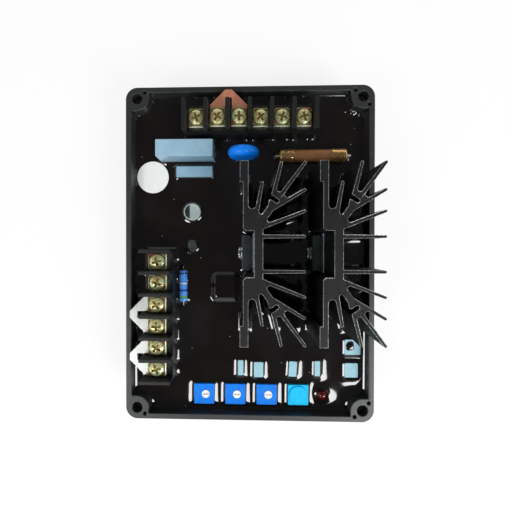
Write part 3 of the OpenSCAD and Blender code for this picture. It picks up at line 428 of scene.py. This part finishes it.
# %% Copies of solids
# Corners closer than this are one corner
MERGE_GAP = 0.0005
# Angles in degrees: faces that turn by less are one flat, and edges that turn by more are rounded
FLAT_ANGLE = 0.5
EDGE_ANGLE = 40


def joined_copy(node):
    """A bmesh of a node with its loose triangles joined."""
    bm = bmesh.new()
    bm.from_mesh(nodes[node].data)
    bmesh.ops.remove_doubles(bm, verts=bm.verts, dist=MERGE_GAP * MM)
    return bm


def merged_copy(node):
    """A bmesh of a node with its loose triangles joined and its flat areas made into faces."""
    bm = joined_copy(node)
    bmesh.ops.dissolve_limit(bm, angle_limit=radians(FLAT_ANGLE), verts=bm.verts, edges=bm.edges)
    return bm


def outer_edges(bm):
    """Edges that stick out and turn by more than the edge angle."""
    sticking_out = [e for e in bm.edges if e.is_manifold and e.is_convex]
    return [e for e in sticking_out if e.calc_face_angle() > radians(EDGE_ANGLE)]


bm = merged_copy("tray")
print("outer edges of the tray:", len(outer_edges(bm)))
bm.free()

# %% [markdown]
# ### Painted shade in the recesses, painted highlights on the turned ends
#
# The floors and walls of the driver recesses take a darker finish, which is painted shade. The ends
# of the clamp washers turn up, and the inner ones take a bright finish, which is a painted
# highlight. Both are told by where a face lies and which way it looks, so no pattern has to be
# placed by hand.

# %% Painted recess shade and end highlights
PAINTED_SHADE_RECESSES = {"upper_terminal_screws", "side_terminal_screws"}
# Least upward part of the normal of a recess's floor, and of a face with the painted highlight
FLOOR_NORMAL = 0.9995
HIGHLIT_NORMAL = 0.2
# Clamp washers, with the way to the turned end that takes the painted highlight, and its length
BRIGHT_ENDS = {"upper_clamp_washers": Vector((0, -1, 0)), "side_clamp_washers": Vector((1, 0, 0))}
TURNED_END = 0.6
# Second finishes: painted shade in the recesses, painted highlight on the turned ends
SECOND_FINISHES = {node: recess_painted_shade for node in PAINTED_SHADE_RECESSES}
SECOND_FINISHES.update({node: zinc_painted_highlight for node in BRIGHT_ENDS})


def paint_recess_shade(bm):
    """Gives the second finish, a painted shade, to the floors of the driver recesses and to the
    walls round them.
    """
    floors = [f for f in bm.faces if f.normal.z > FLOOR_NORMAL]
    for face in {g for f in floors for e in f.edges for g in e.link_faces}:
        face.material_index = 1


def paint_end_highlights(bm, way):
    """Gives the second finish, a painted highlight, to what faces up at the ends that lie farthest
    along a way.
    """
    reach = max(v.co.dot(way) for v in bm.verts)
    for face in bm.faces:
        near_end = face.calc_center_median().dot(way) > reach - TURNED_END * MM
        if near_end and face.normal.z > HIGHLIT_NORMAL:
            face.material_index = 1


print("pieces with two finishes:", sorted(SECOND_FINISHES))

# %% Rounded edges
ROUND_SEGMENTS = 2


def rounded(node, width):
    """Replaces a node by a copy whose outer edges are rounded by a width in millimetres."""
    bm = merged_copy(node)
    if node in PAINTED_SHADE_RECESSES:
        paint_recess_shade(bm)
    bmesh.ops.bevel(bm, geom=outer_edges(bm), offset=width * MM, offset_type="OFFSET",
                    segments=ROUND_SEGMENTS, profile=0.5, affect="EDGES", clamp_overlap=False,
                    material=-1)
    if node in BRIGHT_ENDS:
        paint_end_highlights(bm, BRIGHT_ENDS[node])
    finishes = [finish_of_node[node]]
    if node in SECOND_FINISHES:
        finishes.append(SECOND_FINISHES[node])
    piece = piece_from(bm, node + "_rounded", node, *finishes)
    shade(piece)
    keep_flats(piece)
    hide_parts(node)


# Width of the round on each piece
ROUNDS = {
    "tray": 0.35,
    "upper_terminal_block": 0.18,
    "side_terminal_block": 0.18,
    "film_capacitor_large": 0.3,
    "film_capacitor_small": 0.3,
    "copper_link": 0.12,
    "plated_link_upper": 0.12,
    "plated_link_lower": 0.12,
    "upper_clamp_washers": 0.2,
    "side_clamp_washers": 0.2,
    "upper_terminal_screws": 0.15,
    "side_terminal_screws": 0.15,
    "fixing_screws": 0.12,
    "fixing_washers": 0.1,
    "power_device_left": 0.25,
    "power_device_right": 0.25,
    "transistor": 0.2,
    "trimmer_body_1": 0.2,
    "trimmer_body_2": 0.2,
    "trimmer_body_3": 0.2,
    "trimmer_body_4": 0.2,
    "trimmer_rotor_1": 0.1,
    "trimmer_rotor_2": 0.1,
    "trimmer_rotor_3": 0.1,
    "trimmer_seal_4": 0.15,
}
ROUNDS.update({f"box_capacitor_{i}": 0.25 for i in range(1, 7)})
for node, width in ROUNDS.items():
    rounded(node, width)
print("pieces with rounded edges:", len(ROUNDS))

# %% [markdown]
# ## Heat sinks
#
# An extrusion is dyed first and sawn to length after, so bare metal shows in a fine broken line
# round its end. A bevel would fold over itself on the tight arcs between the fins. Instead the
# flat end is inset by a hair, and its outline is lowered a little, which leaves a narrow chamfer.

# %% Heat sinks with bare edges
# Width and drop of the chamfer, and the angle in degrees from which an edge stays sharp
SAW_BREAK = 0.13
SAW_DROP = 0.08
SINK_SHARP = 25
# Upward part of a level face's normal, and the gap within which two heights are the same
LEVEL_NORMAL = 0.99
LEVEL_GAP = 0.01


def top_faces(bm, top):
    """Level faces that lie at a height or above it."""
    level = [f for f in bm.faces if f.normal.z > LEVEL_NORMAL]
    return [f for f in level if f.calc_center_median().z > top - LEVEL_GAP * MM]


def sawn(node):
    """Replaces a heat sink by a copy with a narrow bare chamfer round its upper end."""
    bm = joined_copy(node)
    end = top_faces(bm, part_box(node)[1].z)
    inside = set(end)
    border = [e for f in end for e in f.edges if any(g not in inside for g in e.link_faces)]
    outline = {v for e in border for v in e.verts}
    ring = bmesh.ops.inset_region(bm, faces=end, thickness=SAW_BREAK * MM, use_boundary=True,
                                  use_even_offset=True)["faces"]
    bmesh.ops.translate(bm, vec=(0, 0, -SAW_DROP * MM), verts=list(outline))
    for face in ring:
        face.material_index = 1
    piece = piece_from(bm, node + "_sawn", node, anodised, bare_edge)
    shade(piece, SINK_SHARP)
    keep_flats(piece)
    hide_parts(node)
    return len(ring)


for node in ("heat_sink_left", "heat_sink_right"):
    print(node, "faces of bare metal:", sawn(node))

# %% [markdown]
# ## Cast resin
#
# Liquid resin wets what it touches and climbs it, so a smooth fillet surrounds every component and
# wall. These fillets carry nearly all the highlights. The surface is a fine grid, and each of its
# points is lifted by how near it lies to the nearest solid. A search tree of all the standing
# pieces gives that distance, whatever their shape.

# %% What stands in the resin
resin_low, resin_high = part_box("potting_resin")
label_low, label_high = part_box("inspection_label")
resin_level = label_low.z
BURIED = {"potting_resin", "circuit_board", "buried_module", "inspection_label", "heat_sink_pins"}
standing = bmesh.new()
for name, node in nodes.items():
    if name not in BURIED:
        standing.from_mesh(node.data)
standing_tree = BVHTree.FromBMesh(standing)
print("triangles that stand in the resin:", len(standing.faces))
standing.free()

# %% [markdown]
# ### Rise over the module
#
# A module lies under the resin, which stands higher there, with soft shoulders. The shoulder is a
# smooth step, level at its top and at its foot.

# %% Rise over the module
# Width of the shoulder, and how far inside the module's outline it starts
RISE_SLOPE = 4
RISE_INSET = 0.6
module_low, module_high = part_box("buried_module")


def eased(share):
    """Smooth step: a share from 0 to 1 that starts and ends gently."""
    return share * share * (3 - 2 * share)


def rise_over_module(x, y):
    """Height of the resin's rise at a point, falling off round the buried module."""
    inset = RISE_INSET * MM
    out_x = max(module_low.x + inset - x, x - module_high.x + inset, 0)
    out_y = max(module_low.y + inset - y, y - module_high.y + inset, 0)
    share = max(0, 1 - (out_x ** 2 + out_y ** 2) ** 0.5 / (RISE_SLOPE * MM))
    return (resin_high.z - resin_level) * eased(share)


print("cover over the module in mm:", round((resin_high.z - module_high.z) / MM, 2))

# %% [markdown]
# ### Label and bubbles
#
# The round label is stuck to a flat place, so all unevenness fades out towards it. A few bubbles
# rose near the upper right post and set there. Each is a low round cap in the height of the
# surface, which joins it without a seam, as a sphere laid into it would not.

# %% Label and bubbles
LABEL_MARGIN = 1.2
label_middle = (label_low + label_high) / 2
label_r = (label_high.x - label_low.x) / 2
# X, Y and radius of each bubble
BUBBLES = [
    (48.2, 66.0, 1.6),
    (44.6, 66.4, 1.0),
    (46.3, 64.6, 0.8),
    (51.0, 64.8, 0.8),
    (49.0, 69.5, 0.7),
]
# Height of a bubble as a share of its radius, and the power that rounds its foot
BUBBLE_RISE = 0.55
BUBBLE_POWER = 1.5


def beside_label(x, y):
    """Share of the unevenness at a point: none under the label, all a little way from it."""
    off = Vector((x - label_middle.x, y - label_middle.y)).length - label_r
    return min(1, max(0, off / (LABEL_MARGIN * MM)))


def bubble_height(x, y):
    """Height of the bubbles at a point, in millimetres."""
    rise = 0
    for place_x, place_y, radius in BUBBLES:
        share = 1 - ((x / MM - place_x) ** 2 + (y / MM - place_y) ** 2) / radius ** 2
        rise = max(rise, BUBBLE_RISE * radius * max(0, share) ** BUBBLE_POWER)
    return rise


print("bubbles:", len(BUBBLES))

# %% [markdown]
# ### Resin along the terminal blocks
#
# Along the inner walls of the blocks the resin climbs the ends of the barriers and hangs back
# between them, which breaks the highlight into a row of short strokes. The middles of the barriers
# are read from their flat tops, so the strokes follow the blocks.

# %% Barriers of the terminal blocks


def barrier_middles(node, axis):
    """Middles of a block's barriers along its row, from their flat tops."""
    bm = merged_copy(node)
    tops = top_faces(bm, max(v.co.z for v in bm.verts))
    middles = sorted(f.calc_center_median()[axis] for f in tops)
    bm.free()
    return middles


# How far full climb reaches along the row from a barrier's middle, down and up the axis
UPPER_REACH = (-0.8, 0.8)
SIDE_REACH = (-3.6, 0.6)
upper_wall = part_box("upper_terminal_block")[0].y
side_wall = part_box("side_terminal_block")[1].x
upper_barriers = barrier_middles("upper_terminal_block", 0)
side_barriers = barrier_middles("side_terminal_block", 1)
# Axis along the row, axis towards the inner wall, the wall's place, the barriers' middles, reach
INNER_WALLS = [
    (0, 1, upper_wall, upper_barriers, UPPER_REACH),
    (1, 0, side_wall, side_barriers, SIDE_REACH),
]
print("barriers of the upper block:", len(upper_barriers), "of the side block:", len(side_barriers))

# %% Resin along the terminal blocks
# Share of the climb between two barriers, and the length over which a stroke fades out
GAP_CLIMB = 0.2
END_FADE = 2.2
# Distances from the inner wall at which this starts to fade and no longer matters
WALL_NEAR = 3
WALL_FAR = 6


def wetting(point):
    """Share of the climb that the resin takes at a point, lower between two barriers' ends."""
    share = 1
    for along, across, place, middles, reach in INNER_WALLS:
        if middles[0] < point[along] < middles[-1]:
            steps = [(point[along] - m) / MM for m in middles]
            beyond = min(max(reach[0] - step, step - reach[1], 0) for step in steps)
            end = max(0, 1 - (beyond / END_FADE) ** 2) ** 2
            off = abs(point[across] - place) / MM
            fade = eased(min(1, max(0, (off - WALL_NEAR) / (WALL_FAR - WALL_NEAR))))
            share *= 1 - (1 - GAP_CLIMB) * (1 - end) * (1 - fade)
    return share


upper_gap = Vector((sum(upper_barriers[:2]) / 2, upper_wall, resin_level))
print("climb in a gap of the upper block:", round(wetting(upper_gap), 2))

# %% [markdown]
# ### The surface
#
# The climb falls off with the distance from a wall. Points inside a solid go on climbing a little,
# so that the fillet keeps its slope right up to the wall. The grid's border is extruded down to
# the foot of the resin and closed there, which makes a solid block of it.

# %% Height of the resin
# Climb at a wall, the width over which it falls off, and its limit inside a solid
CLIMB = 1.0
CLIMB_WIDTH = 1.5
CLIMB_MOST = 1.3
# Depth and length of the slight waves in the open surface
SAG = 0.05
SAG_LENGTH = 17
# Distances to the standing pieces are taken this far above the flat level
PROBE_HEIGHT = 0.3


def resin_height(x, y):
    """Level of the resin at a point: flat, sagging a little, and climbing what stands in it."""
    point = Vector((x, y, resin_level + PROBE_HEIGHT * MM))
    wall, facing, _, distance = standing_tree.find_nearest(point)
    inside = facing.dot(point - wall) < 0
    away = -distance / MM if inside else distance / MM
    ripple = noise.noise(Vector((x, y, 0)) / (SAG_LENGTH * MM))
    climb = min(CLIMB * exp(-away / CLIMB_WIDTH), CLIMB_MOST) * wetting(point)
    uneven = climb + SAG * ripple + bubble_height(x, y)
    return resin_level + uneven * beside_label(x, y) * MM + rise_over_module(x, y)


at_label = resin_height(label_middle.x, label_middle.y)
print("resin above its level under the label in mm:", round((at_label - resin_level) / MM, 2))

# %% Resin surface
GRID_STEP = 0.42
size_x = resin_high.x - resin_low.x
size_y = resin_high.y - resin_low.y
cells_x = round(size_x / (GRID_STEP * MM))
cells_y = round(size_y / (GRID_STEP * MM))
bm = bmesh.new()
bmesh.ops.create_grid(bm, x_segments=cells_x, y_segments=cells_y, size=0.5)
bmesh.ops.scale(bm, vec=(size_x, size_y, 1), verts=bm.verts)
for vert in bm.verts:
    vert.co.z = resin_height(vert.co.x, vert.co.y)
rim = [e for e in bm.edges if e.is_boundary]
skirt = bmesh.ops.extrude_edge_only(bm, edges=rim)["geom"]
foot = [v for v in skirt if isinstance(v, bmesh.types.BMVert)]
for vert in foot:
    vert.co.z = resin_low.z
bmesh.ops.contextual_create(bm, geom=[e for e in bm.edges if e.is_boundary])
bmesh.ops.recalc_face_normals(bm, faces=bm.faces)
print("faces in the resin:", len(bm.faces))
resin = piece_from(bm, "resin_surface", "potting_resin", resin_black)
shade(resin)
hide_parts("potting_resin")

# %% [markdown]
# ## A splash of resin
#
# Resin is poured by hand, and a drop lies on the box capacitor near the right wall. A sphere is
# pressed flat, its outline is pushed in and out by noise, and the half below the box is cut off.
# A flat disc would be simpler, but only a dome has the highlight of a drop.

# %% Splash on a box capacitor
SPLASH_R = 2.0
SPLASH_H = 0.4
# Place on the box's top, as shares of its width and depth
SPLASH_PLACE = (0.36, 0.56)
SPLASH_AROUND, SPLASH_UP = 40, 20
# Depth of the lobes as a share of the radius, and how closely they follow each other
LOBE_DEPTH = 0.35
LOBE_SCALE = 1.4
# The cut lies this far below the box's top, and points this near to it count as on it
SPLASH_SINK = 0.05
CUT_GAP = 0.0001
SPLASH_SHARP = 60


def everything(bm):
    """All corners, edges and faces of a bmesh, which a cut asks for."""
    return bm.verts[:] + bm.edges[:] + bm.faces[:]


box_low, box_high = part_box("box_capacitor_6")
splash_x = box_low.x + SPLASH_PLACE[0] * (box_high.x - box_low.x)
splash_y = box_low.y + SPLASH_PLACE[1] * (box_high.y - box_low.y)
splash_middle = Vector((splash_x, splash_y, box_high.z))
bm = bmesh.new()
bmesh.ops.create_uvsphere(bm, u_segments=SPLASH_AROUND, v_segments=SPLASH_UP, radius=1)
for vert in bm.verts:
    lobes = 1 + LOBE_DEPTH * noise.noise(vert.co * LOBE_SCALE)
    vert.co = Vector((vert.co.x * lobes, vert.co.y * lobes, vert.co.z))
bmesh.ops.scale(bm, vec=(SPLASH_R * MM, SPLASH_R * MM, SPLASH_H * MM), verts=bm.verts)
bmesh.ops.translate(bm, vec=splash_middle, verts=bm.verts)
bmesh.ops.bisect_plane(bm, geom=everything(bm), dist=CUT_GAP * MM, clear_inner=True,
                       plane_co=(0, 0, box_high.z - SPLASH_SINK * MM), plane_no=(0, 0, 1))
bmesh.ops.holes_fill(bm, edges=[e for e in bm.edges if e.is_boundary])
bmesh.ops.recalc_face_normals(bm, faces=bm.faces)
splash = piece_from(bm, "resin_splash", "potting_resin", resin_black)
shade(splash, SPLASH_SHARP)
print("splash made at height in mm:", round(box_high.z / MM, 2))

# %% [markdown]
# ## Electrolytic capacitor
#
# The can is drawn from aluminium sheet, so its edge is round and its end lies a little below the
# rim. An inked segment marks the side of its negative lead. A half profile is spun about the
# can's axis, a plane cuts the segment off, and its faces take the ink. Ink by faces has a crisp
# edge, where a pattern in the material would need its own coordinates.

# %% Profile of the can
# Round edge, flat rim inside it, and depth of the end below the rim
CAN_ROUND = 0.45
CAN_RIM = 0.12
CAN_RECESS = 0.12
# Points of the round edge as shares of its size: in from the wall, down from the rim
EDGE_ARC = [(0, 1), (0.08, 0.6), (0.3, 0.3), (0.6, 0.08), (1, 0)]
# Width and height of the crease at the foot of the rim
CREASE_WIDTH, CREASE_HEIGHT = 0.05, 0.02
# A ring of points on the end, as a share of its radius, which shortens the fan of its faces
END_RING = 0.6
can_low, can_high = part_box("electrolytic_capacitor")
can_middle = (can_low + can_high) / 2
can_r = (can_high.x - can_low.x) / 2
can_top = can_high.z


def can_point(radius, height):
    """A point of the can's half profile, both in metres."""
    return Vector((can_middle.x + radius, can_middle.y, height))


face_r = can_r - (CAN_ROUND + CAN_RIM) * MM
end_z = can_top - CAN_RECESS * MM
round_edge = [
    can_point(can_r - inwards * CAN_ROUND * MM, can_top - down * CAN_ROUND * MM)
    for inwards, down in EDGE_ARC
]
can_profile = [
    can_point(0, can_low.z),
    can_point(can_r, can_low.z),
    *round_edge,
    can_point(face_r + CREASE_WIDTH * MM, end_z + CREASE_HEIGHT * MM),
    can_point(face_r, end_z),
    can_point(END_RING * face_r, end_z),
    can_point(0, end_z),
]
print("capacitor can radius in mm:", round(can_r / MM, 2))

# %% Capacitor can
# Place of the inked segment's straight side, from the can's axis
PATCH_SIDE = -1.1
# Least upward part of an inked face's normal: the ink runs into the crease, but not up the rim
INK_NORMAL = 0.9
CAN_SHARP = 35
SPIN_STEPS = 64


def spun(profile, centre, axis):
    """A bmesh made by a full turn of a line of points about an axis."""
    bm = bmesh.new()
    verts = [bm.verts.new(p) for p in profile]
    edges = [bm.edges.new(pair) for pair in zip(verts, verts[1:])]
    bmesh.ops.spin(bm, geom=verts + edges, cent=centre, axis=axis, angle=2 * pi,
                   steps=SPIN_STEPS, use_merge=True, dvec=(0, 0, 0))
    bmesh.ops.remove_doubles(bm, verts=bm.verts, dist=MERGE_GAP * MM)
    bmesh.ops.recalc_face_normals(bm, faces=bm.faces)
    return bm


bm = spun(can_profile, can_middle, (0, 0, 1))
patch_edge = can_middle.x + PATCH_SIDE * MM
bmesh.ops.bisect_plane(bm, geom=everything(bm), dist=CUT_GAP * MM,
                       plane_co=(patch_edge, can_middle.y, can_top), plane_no=(1, 0, 0))
for face in bm.faces:
    middle = face.calc_center_median()
    on_end = face.normal.z > INK_NORMAL and abs(middle.z - end_z) < CREASE_HEIGHT * MM
    face.material_index = 1 if on_end and middle.x < patch_edge else 0
print("inked faces:", sum(f.material_index for f in bm.faces))
can = piece_from(bm, "capacitor_can", "electrolytic_capacitor", can_metal, patch_ink)
shade(can, CAN_SHARP)
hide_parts("electrolytic_capacitor")

# %% [markdown]
# ## Fuse caps
#
# Each brass cap is drawn over the tube's end and crimped, which leaves a shallow groove near its
# middle. A profile is spun about the fuse's axis, once for each end. It has the tube's bore too,
# so the cap is a closed cup and not a solid rod.

# %% Profile of a fuse cap
CAP_LENGTH = 6.6
CAP_SHEET = 0.4
# Round edge of the end, with the place of its middle point as a share of its size
CAP_ROUND = 0.5
ROUND_SHARE = 0.3
# Crimped groove, and the lip at the open end
GROOVE_DEPTH, GROOVE_HALF = 0.16, 0.45
LIP_DEPTH, LIP_LENGTH = 0.1, 0.2
fuse_low, fuse_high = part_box("fuse_caps")
tube_low, tube_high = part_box("fuse_tube")
fuse_middle = (fuse_low + fuse_high) / 2
cap_r = (fuse_high.z - fuse_low.z) / 2
tube_r = (tube_high.z - tube_low.z) / 2


def cap_profile(side):
    """Half profile of a fuse cap: in along the tube, back over the crimp, to the end's middle."""
    end = fuse_high.x if side > 0 else fuse_low.x
    marks = [
        (CAP_SHEET, 0),
        (CAP_SHEET, tube_r),
        (CAP_LENGTH, tube_r),
        (CAP_LENGTH, cap_r - LIP_DEPTH * MM),
        (CAP_LENGTH - LIP_LENGTH, cap_r),
        (CAP_LENGTH / 2 + GROOVE_HALF, cap_r),
        (CAP_LENGTH / 2, cap_r - GROOVE_DEPTH * MM),
        (CAP_LENGTH / 2 - GROOVE_HALF, cap_r),
        (CAP_ROUND, cap_r),
        (ROUND_SHARE * CAP_ROUND, cap_r - ROUND_SHARE * CAP_ROUND * MM),
        (0, cap_r - CAP_ROUND * MM),
        (0, 0),
    ]
    y, z = fuse_middle.y, fuse_middle.z
    return [Vector((end - side * inset * MM, y, z + r)) for inset, r in marks]


print("points in a cap's profile:", len(cap_profile(1)))

# %% Fuse caps
bm = bmesh.new()
for side in (-1, 1):
    half = spun(cap_profile(side), fuse_middle, (1, 0, 0))
    holder = bpy.data.meshes.new("cap_half")
    half.to_mesh(holder)
    half.free()
    bm.from_mesh(holder)
    bpy.data.meshes.remove(holder)
print("faces in both fuse caps:", len(bm.faces))
caps = piece_from(bm, "fuse_caps_crimped", "fuse_caps", brass)
shade(caps)
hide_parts("fuse_caps")

# %% [markdown]
# ## Table
#
# The regulator lies on a plain white table. To light it white would take so much light that the
# pale pieces lose their colour. So the table glows by itself where the camera, a mirror or clear
# resin sees it, and stays plain paint for all other light. Part of the paint still shows through
# the glow, and keeps the shadow.

# %% Table
# Side of the table in metres, and its gap below the tray in millimetres
FLOOR_SIZE = 8
FLOOR_GAP = 0.02
tray_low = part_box("tray")[0]
floor_bm = bmesh.new()
bmesh.ops.create_grid(floor_bm, x_segments=1, y_segments=1, size=FLOOR_SIZE / 2)
floor_mesh = bpy.data.meshes.new("floor")
floor_bm.to_mesh(floor_mesh)
floor_bm.free()
floor = bpy.data.objects.new("floor", floor_mesh)
bpy.context.scene.collection.objects.link(floor)
floor.location.z = tray_low.z - FLOOR_GAP * MM
print("height of the table in mm:", round(floor.location.z / MM, 2))

# %% White of the table
TABLE_GLOW = 0.8
table_white = finish("matt_white_table", "#fafafa", "#fdfdfd", 40, (0.8, 0.9))
table_tree = table_white.node_tree
paint = table_tree.nodes["Principled BSDF"]
ray = add(table_tree, "ShaderNodeLightPath")
mirrored = add(table_tree, "ShaderNodeMath", {"operation": "MAXIMUM"},
               {0: ray.outputs["Is Camera Ray"], 1: ray.outputs["Is Glossy Ray"]})
seen = add(table_tree, "ShaderNodeMath", {"operation": "MAXIMUM"},
           {0: mirrored.outputs[0], 1: ray.outputs["Is Transmission Ray"]})
share = add(table_tree, "ShaderNodeMath", {"operation": "MULTIPLY", 1: TABLE_GLOW},
            {0: seen.outputs[0]})
glow = add(table_tree, "ShaderNodeEmission", {"Strength": 1})
mixed = add(table_tree, "ShaderNodeMixShader",
            links={0: share.outputs[0], 1: paint.outputs[0], 2: glow.outputs[0]})
table_tree.links.new(mixed.outputs[0], table_tree.nodes["Material Output"].inputs["Surface"])
floor_mesh.materials.append(table_white)
print("share of the table's own glow:", TABLE_GLOW)

# %% [markdown]
# ## Light tent
#
# The sky is a ring: bright near the horizon and dark overhead, as in a light tent with an opening
# for the camera, so that level resin stays black and its fillets shine. An even sky would turn all
# the resin grey. Matt surfaces get more light from overhead than mirrors see there, or the
# components' tops would be dull.

# %% Sky
# Strength near the horizon and overhead, as mirrors see it and as it lights matt surfaces
RING_SEEN, RING_LIT = 0.95, 0.9
OVERHEAD_SEEN, OVERHEAD_LIT = 0.06, 0.42
# Upward part of the direction at which the ring starts to fade, and at which it has faded
RING_TOP, OPENING_EDGE = 0.25, 0.8
world = bpy.data.worlds.new("light_tent")
world.use_nodes = True
bpy.context.scene.world = world
sky_tree = world.node_tree
direction = add(sky_tree, "ShaderNodeTexCoord")
up = add(sky_tree, "ShaderNodeSeparateXYZ", links={0: direction.outputs["Generated"]})
ray = add(sky_tree, "ShaderNodeLightPath")
ring = add(sky_tree, "ShaderNodeMapRange", {"To Min": RING_SEEN, "To Max": RING_LIT},
           {"Value": ray.outputs["Is Diffuse Ray"]})
overhead = add(sky_tree, "ShaderNodeMapRange", {"To Min": OVERHEAD_SEEN, "To Max": OVERHEAD_LIT},
               {"Value": ray.outputs["Is Diffuse Ray"]})
level = add(sky_tree, "ShaderNodeMapRange",
            {"From Min": RING_TOP, "From Max": OPENING_EDGE, "interpolation_type": "SMOOTHSTEP"},
            {"Value": up.outputs["Z"], "To Min": ring.outputs["Result"],
             "To Max": overhead.outputs["Result"]})
sky = sky_tree.nodes["Background"]
sky.inputs["Color"].default_value = linear("#fbfdff")
sky_tree.links.new(level.outputs["Result"], sky.inputs["Strength"])
print("ring against opening, as mirrors see them:", round(RING_SEEN / OVERHEAD_SEEN, 1))

# %% [markdown]
# ## Lamps
#
# Two soft lamps stand beyond the lower corners, seen from above. They are broad and low in power:
# they draw the bright lines along the resin's fillets, and the tent does the rest.

# %% Lamps
# Name, place in metres, the point of the table it faces, size in metres, power in watts
LAMPS = [
    ("right_softbox", (0.345, -0.365, 0.457), (0.03, -0.05), (0.26, 0.36), 2.8),
    ("left_softbox", (-0.33, -0.265, 0.49), (-0.01, -0.055), (0.2, 0.16), 1.0),
]
for name, place, facing, size, power in LAMPS:
    lamp = bpy.data.lights.new(name, "AREA")
    lamp.shape = "RECTANGLE"
    lamp.size, lamp.size_y = size
    lamp.energy = power
    lamp_object = bpy.data.objects.new(name, lamp)
    lamp_object.location = place
    aim = Vector((*facing, 0)) - Vector(place)
    lamp_object.rotation_euler = aim.to_track_quat("-Z", "Y").to_euler()
    bpy.context.scene.collection.objects.link(lamp_object)
print("lamps:", len(LAMPS))

# %% [markdown]
# ## Camera
#
# The photograph was taken from straight above, at short range, so nearer things look clearly
# larger. The camera's place, tilt and focal length were solved from the tray's rim and its
# corner holes. The picture was cropped off its middle, which the small shift repeats.

# %% Camera
# Side of the picture, focal length and the lens's middle, in pixels
IMAGE = 512
FOCAL_PX = 353
MIDDLE_PX = (238.13, 247.55)
SENSOR = 36
# Place in millimetres, and turn about each axis in degrees
CAMERA_PLACE = (0.403, 4.049, 186.332)
CAMERA_TURN = (-0.429, 1.882, 0.063)
# Nearest distance that is drawn, in metres
NEAREST = 0.01
camera_data = bpy.data.cameras.new("photo_camera")
camera_data.sensor_width = SENSOR
camera_data.lens = FOCAL_PX / IMAGE * camera_data.sensor_width
camera_data.shift_x = (IMAGE / 2 - MIDDLE_PX[0]) / IMAGE
camera_data.shift_y = (MIDDLE_PX[1] - IMAGE / 2) / IMAGE
camera_data.clip_start = NEAREST
camera = bpy.data.objects.new("photo_camera", camera_data)
camera.location = [c * MM for c in CAMERA_PLACE]
camera.rotation_euler = [radians(a) for a in CAMERA_TURN]
bpy.context.scene.collection.objects.link(camera)
bpy.context.scene.camera = camera
bpy.context.scene.view_settings.view_transform = "Standard"
print("lens in mm:", round(camera_data.lens, 2))

# %% [markdown]
# ## End
#
# The last cell only says that the script has run.

# %% End
print("scene script done")
